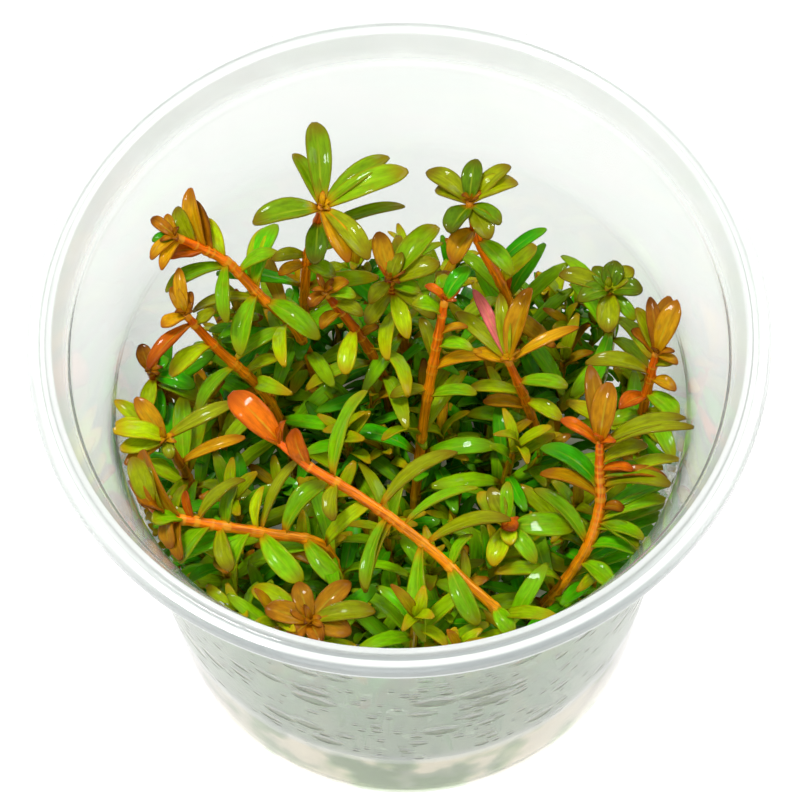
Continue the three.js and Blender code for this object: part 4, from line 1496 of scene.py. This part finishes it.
def wall_colour(tree, place, z, misted, wet):
    """The milky wall's colour, and the slow noise in it: nearly white, with painted see-through colour
    on it: cream over the gel with the green of buried shoots, for the gel behind the wall; pale green
    where misted, for the leaves seen through the mist; and darker in the beads, for the leaves seen
    through them."""
    flow = node(
        tree, "ShaderNodeTexNoise", None,
        {"Vector": place, "Scale": 1 / (9 * MM), "Detail": 1.0, "Roughness": 0.5},
    ).outputs["Fac"]
    plain = node(
        tree, "ShaderNodeMix", {"data_type": "RGBA"},
        {"Factor": flow, "A": linear4("#F5FAF6"), "B": linear4("#FBFDFB")},
    ).outputs["Result"]
    gel_behind = node(
        tree, "ShaderNodeMapRange", {"interpolation_type": "SMOOTHSTEP"},
        {
            "Value": z, "From Min": (GEL_TOP - 0.7) * MM, "From Max": (GEL_TOP + 0.3) * MM,
            "To Min": 1.0, "To Max": 0.0,
        },
    ).outputs["Result"]
    # Painted see-through colour: the cream gel and the green of buried shoots behind the wall
    painted_gel_seen_through = node(
        tree, "ShaderNodeMix", {"data_type": "RGBA"},
        {"Factor": buried_green(tree, place), "A": linear4("#FEF9EA"), "B": linear4("#BCD2A4")},
    ).outputs["Result"]
    colour = plain
    # Painted see-through colour: pale green where misted for the leaves behind the mist, darker in the
    # beads for the leaves seen through them
    for factor, over in (
        (gel_behind, painted_gel_seen_through), (misted, linear4("#EAF8E2")), (wet, linear4("#B4C09C")),
    ):
        colour = node(
            tree, "ShaderNodeMix", {"data_type": "RGBA"}, {"Factor": factor, "A": colour, "B": over},
        ).outputs["Result"]
    return colour, flow


def rim_shade(tree, place, y, z):
    """Where the rim is in shade: on the skirt's face and in the groove, most of all at the front,
    where both turn away from the light."""
    level = node(
        tree, "ShaderNodeVectorMath", {"operation": "MULTIPLY"}, {0: place, 1: (1, 1, 0)},
    ).outputs["Vector"]
    radius = node(
        tree, "ShaderNodeVectorMath", {"operation": "LENGTH"}, {0: level},
    ).outputs["Value"]
    past_edge = node(
        tree, "ShaderNodeMapRange", {"interpolation_type": "SMOOTHSTEP"},
        {
            "Value": radius, "From Min": (RIM_RADIUS - 0.9) * MM, "From Max": (RIM_RADIUS - 0.5) * MM,
            "To Min": 0.0, "To Max": 0.85,
        },
    ).outputs["Result"]
    above_hem = node(
        tree, "ShaderNodeMapRange", None,
        {
            "Value": z, "From Min": (CUP_HEIGHT - 1.9) * MM, "From Max": (CUP_HEIGHT - 1.7) * MM,
            "To Min": 0.0, "To Max": 1.0,
        },
    ).outputs["Result"]
    skirt = node(
        tree, "ShaderNodeMath", {"operation": "MULTIPLY"}, {0: past_edge, 1: above_hem},
    ).outputs[0]
    off_groove = node(
        tree, "ShaderNodeMath", {"operation": "SUBTRACT"}, {0: radius, 1: (GROOVE_RADIUS + 0.05) * MM},
    ).outputs[0]
    groove_gap = node(tree, "ShaderNodeMath", {"operation": "ABSOLUTE"}, {0: off_groove}).outputs[0]
    groove = node(
        tree, "ShaderNodeMapRange", {"interpolation_type": "SMOOTHSTEP"},
        {
            "Value": groove_gap, "From Min": 0.2 * MM, "From Max": 0.5 * MM,
            "To Min": 0.7, "To Max": 0.0,
        },
    ).outputs["Result"]
    either = node(
        tree, "ShaderNodeMath", {"operation": "MAXIMUM"}, {0: skirt, 1: groove},
    ).outputs[0]
    turned_away = node(
        tree, "ShaderNodeMapRange", {"interpolation_type": "SMOOTHSTEP"},
        {"Value": y, "From Min": -49 * MM, "From Max": -25 * MM, "To Min": 1.0, "To Max": 0.12},
    ).outputs["Result"]
    return node(
        tree, "ShaderNodeMath", {"operation": "MULTIPLY"}, {0: either, 1: turned_away},
    ).outputs[0]


def see_through_share(tree, z, misted):
    """How clear the plastic is: less in the rim, which is moulded twice as thick as the wall and
    looks milkier, and more where the gel or the mist wets the wall."""
    clearness = node(
        tree, "ShaderNodeMapRange", {"interpolation_type": "SMOOTHSTEP"},
        {
            "Value": z, "From Min": LEDGE_HEIGHT * MM, "From Max": (LEDGE_HEIGHT + 3) * MM,
            "To Min": 0.88, "To Max": 0.45,
        },
    ).outputs["Result"]
    wetted = node(
        tree, "ShaderNodeMapRange", {"interpolation_type": "SMOOTHSTEP"},
        {
            "Value": z, "From Min": (GEL_TOP - 1) * MM, "From Max": (GEL_TOP + 0.5) * MM,
            "To Min": 0.09, "To Max": 0.0,
        },
    ).outputs["Result"]
    dry = node(tree, "ShaderNodeMath", {"operation": "ADD"}, {0: wetted, 1: clearness}).outputs[0]
    return node(
        tree, "ShaderNodeMath", {"operation": "MULTIPLY_ADD"}, {0: misted, 1: 0.03, 2: dry},
    ).outputs[0]


def moulded_polypropylene():
    """Translucent moulded polypropylene: milky and see-through, with a soft gloss, misted inside
    at the front."""
    material, tree, shader = new_material("moulded_translucent_polypropylene")
    place = node(tree, "ShaderNodeTexCoord").outputs["Object"]
    parts = node(tree, "ShaderNodeSeparateXYZ", None, {"Vector": place})
    x, y, z = [parts.outputs[axis] for axis in "XYZ"]
    misted, wet, dome = mist_and_beads(tree, x, y, z)
    colour, flow = wall_colour(tree, place, z, misted, wet)
    tint = node(
        tree, "ShaderNodeMix", {"data_type": "RGBA"},
        {"Factor": rim_shade(tree, place, y, z), "A": colour, "B": linear4("#9AA2A2")},
    ).outputs["Result"]
    tree.links.new(tint, shader.inputs["Base Color"])
    tree.links.new(see_through_share(tree, z, misted), shader.inputs["Transmission Weight"])
    # Slow ripples from moulding, and the beads' domes on them
    ripples = node(
        tree, "ShaderNodeBump", None,
        {"Height": flow, "Strength": 0.25, "Distance": 0.15 * MM},
    ).outputs["Normal"]
    beaded = node(
        tree, "ShaderNodeBump", {"invert": True},
        {"Height": dome, "Strength": 0.4, "Distance": 0.4 * MM, "Normal": ripples},
    ).outputs["Normal"]
    tree.links.new(beaded, shader.inputs["Normal"])
    dry_mist = node(
        tree, "ShaderNodeMath", {"operation": "SUBTRACT"}, {0: misted, 1: wet},
    ).outputs[0]
    roughness = node(
        tree, "ShaderNodeMath", {"operation": "MULTIPLY_ADD"}, {0: dry_mist, 1: 0.12, 2: 0.06},
    ).outputs[0]
    tree.links.new(roughness, shader.inputs["Roughness"])
    set_shader(shader, {"IOR": 1.49})
    return material


def buried_green(tree, place):
    """Where buried shoots show green in the gel: broad patches, most of them near the front."""
    patches = node(
        tree, "ShaderNodeTexNoise", None,
        {"Vector": place, "Scale": 1 / (9 * MM), "Detail": 2.0, "Roughness": 0.55},
    ).outputs["Fac"]
    thickest = (-4, -34, 9)
    distance = node(
        tree, "ShaderNodeVectorMath", {"operation": "DISTANCE"},
        {0: place, 1: [c * MM for c in thickest]},
    ).outputs["Value"]
    nearness = node(
        tree, "ShaderNodeMapRange", None,
        {"Value": distance, "From Min": 3 * MM, "From Max": 18 * MM, "To Min": 0.2, "To Max": 0.0},
    ).outputs["Result"]
    amount = node(tree, "ShaderNodeMath", {"operation": "ADD"}, {0: patches, 1: nearness}).outputs[0]
    return node(
        tree, "ShaderNodeMapRange", {"interpolation_type": "SMOOTHSTEP"},
        {"Value": amount, "From Min": 0.52, "From Max": 0.66, "To Min": 0.0, "To Max": 0.9},
    ).outputs["Result"]


def agar():
    """Agar gel: wet and milky, a little see-through, cream in the mass."""
    material, tree, shader = new_material("agar_gel_cream")
    place = node(tree, "ShaderNodeTexCoord").outputs["Object"]
    cloud = node(
        tree, "ShaderNodeTexNoise", None,
        {"Vector": place, "Scale": 1 / (7 * MM), "Detail": 2.0, "Roughness": 0.55},
    ).outputs["Fac"]
    cream = node(
        tree, "ShaderNodeMix", {"data_type": "RGBA"},
        {"Factor": cloud, "A": linear4("#FFF6DC"), "B": linear4("#FFFDF2")},
    ).outputs["Result"]
    # Painted see-through colour: the green of buried shoots showing through the milky gel
    buried_shoots_showing = buried_green(tree, place)
    tint = node(
        tree, "ShaderNodeMix", {"data_type": "RGBA"},
        {"Factor": buried_shoots_showing, "A": cream, "B": linear4("#4E7C22")},
    ).outputs["Result"]
    tree.links.new(tint, shader.inputs["Base Color"])
    set_shader(shader, {"Roughness": 0.2, "IOR": 1.34, "Transmission Weight": 0.2})
    return material


def water():
    """Condensed water: clear and smooth."""
    material, _, shader = new_material("condensed_water")
    set_shader(shader, {
        "Base Color": linear4("#FFFFFF"), "Roughness": 0.02, "IOR": 1.333,
        "Transmission Weight": 1.0,
    })
    return material


# Pieces of the part
def dress(piece, node_name):
    """Fix the piece to the part, in place of its solid if it has one."""
    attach(piece, "root")
    if node_name:
        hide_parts(node_name)


def build_plants():
    """Every shoot as one piece; the placed shoots have rounder stems than the ordinary ones."""
    materials = [fresh_stem(), fresh_leaf()]
    for stem in grow_all():
        gathered = stem["gathered"]
        resolution, spacing = (3, 0.5) if stem["leaves"] else (1, 1.0)
        add_stem(
            gathered, stem["route"], stem["radius"], stem_nodes(stem["grown"]),
            STEM_COLOURS[stem["colour"]], resolution, spacing,
        )
        piece = gathered.piece("shoot_" + stem["name"], materials)
        node_name = "stem_" + stem["name"]
        dress(piece, node_name)


def build_cup():
    cup = turned("cup_moulding", cup_profile(), CUP_STEPS)
    cup.data.materials.append(moulded_polypropylene())
    dress(cup, "cup")


def build_gel():
    gel = turned("agar_gel_disc", gel_profile(), GEL_STEPS)
    gel.data.materials.append(agar())
    dress(gel, "agar_gel")


def build_drops():
    dress(condensation(water()), None)


# Stage: pale floor, soft lights, and the camera at the photograph's angle
FLOOR_HALF = 3000

# The camera was worked out from the ellipses of the rim and the foot in the photograph
CAMERA_ELEVATION = 63.337
CAMERA_DISTANCE = 443.44
CAMERA_TARGET = (-0.145, -1.24, 66.0)
CAMERA_ROLL = 1.908
CAMERA_LENS = 142.9
SENSOR_WIDTH = 36

# Each light's name, then its place, the side of its square and its power in watts
LIGHTS = [
    ("key_light", (-200, 60, 850), 150, 4.6),
    ("fill_light", (500, 250, 600), 350, 1.8),
    ("front_light", (-150, -800, 350), 500, 1.8),
]
LIT_HEIGHT = 50


def build_floor():
    bm = bmesh.new()
    bmesh.ops.create_grid(bm, x_segments=1, y_segments=1, size=FLOOR_HALF * MM)
    mesh = bpy.data.meshes.new("studio_floor")
    bm.to_mesh(mesh)
    bm.free()
    # The paper is so brightly lit that it shows plain white: it glows, and little shade shows on it
    material, _, shader = new_material("white_paper")
    set_shader(shader, {
        "Base Color": linear4("#606060"), "Roughness": 0.9,
        "Emission Color": linear4("#FFFFFF"), "Emission Strength": 1.03,
    })
    mesh.materials.append(material)
    linked("studio_floor", mesh)


def soft_light(name, place, size, power):
    light = bpy.data.lights.new(name, "AREA")
    light.size = size * MM
    light.energy = power
    lamp = bpy.data.objects.new(name, light)
    bpy.context.scene.collection.objects.link(lamp)
    lamp.location = [c * MM for c in place]
    towards = Vector((0, 0, LIT_HEIGHT * MM)) - lamp.location
    lamp.rotation_euler = towards.to_track_quat("-Z", "Y").to_euler()


def build_lights():
    world = bpy.data.worlds.new("studio_air")
    world.use_nodes = True
    background = world.node_tree.nodes["Background"]
    background.inputs["Color"].default_value = linear4("#FFFFFF")
    background.inputs["Strength"].default_value = 0.66
    bpy.context.scene.world = world
    for name, place, size, power in LIGHTS:
        soft_light(name, place, size, power)


def build_camera():
    tilt = math.radians(CAMERA_ELEVATION)
    roll = math.radians(CAMERA_ROLL)
    back = Vector((0, -math.cos(tilt), math.sin(tilt)))
    right = Vector((1, 0, 0))
    up = Vector((0, math.sin(tilt), math.cos(tilt)))
    image_right = right * math.cos(roll) - up * math.sin(roll)
    image_up = right * math.sin(roll) + up * math.cos(roll)
    camera = bpy.data.cameras.new("photo_view")
    camera.lens = CAMERA_LENS
    camera.sensor_width = SENSOR_WIDTH
    camera.clip_start = 0.01
    holder = bpy.data.objects.new("photo_view", camera)
    bpy.context.scene.collection.objects.link(holder)
    place = (Vector(CAMERA_TARGET) + back * CAMERA_DISTANCE) * MM
    turn = Matrix((image_right, image_up, back)).transposed()
    holder.matrix_world = Matrix.Translation(place) @ turn.to_4x4()
    bpy.context.scene.camera = holder


build_camera()
build_floor()
build_lights()
build_cup()
build_gel()
build_drops()
build_plants()
bpy.context.scene.view_settings.view_transform = "Standard"
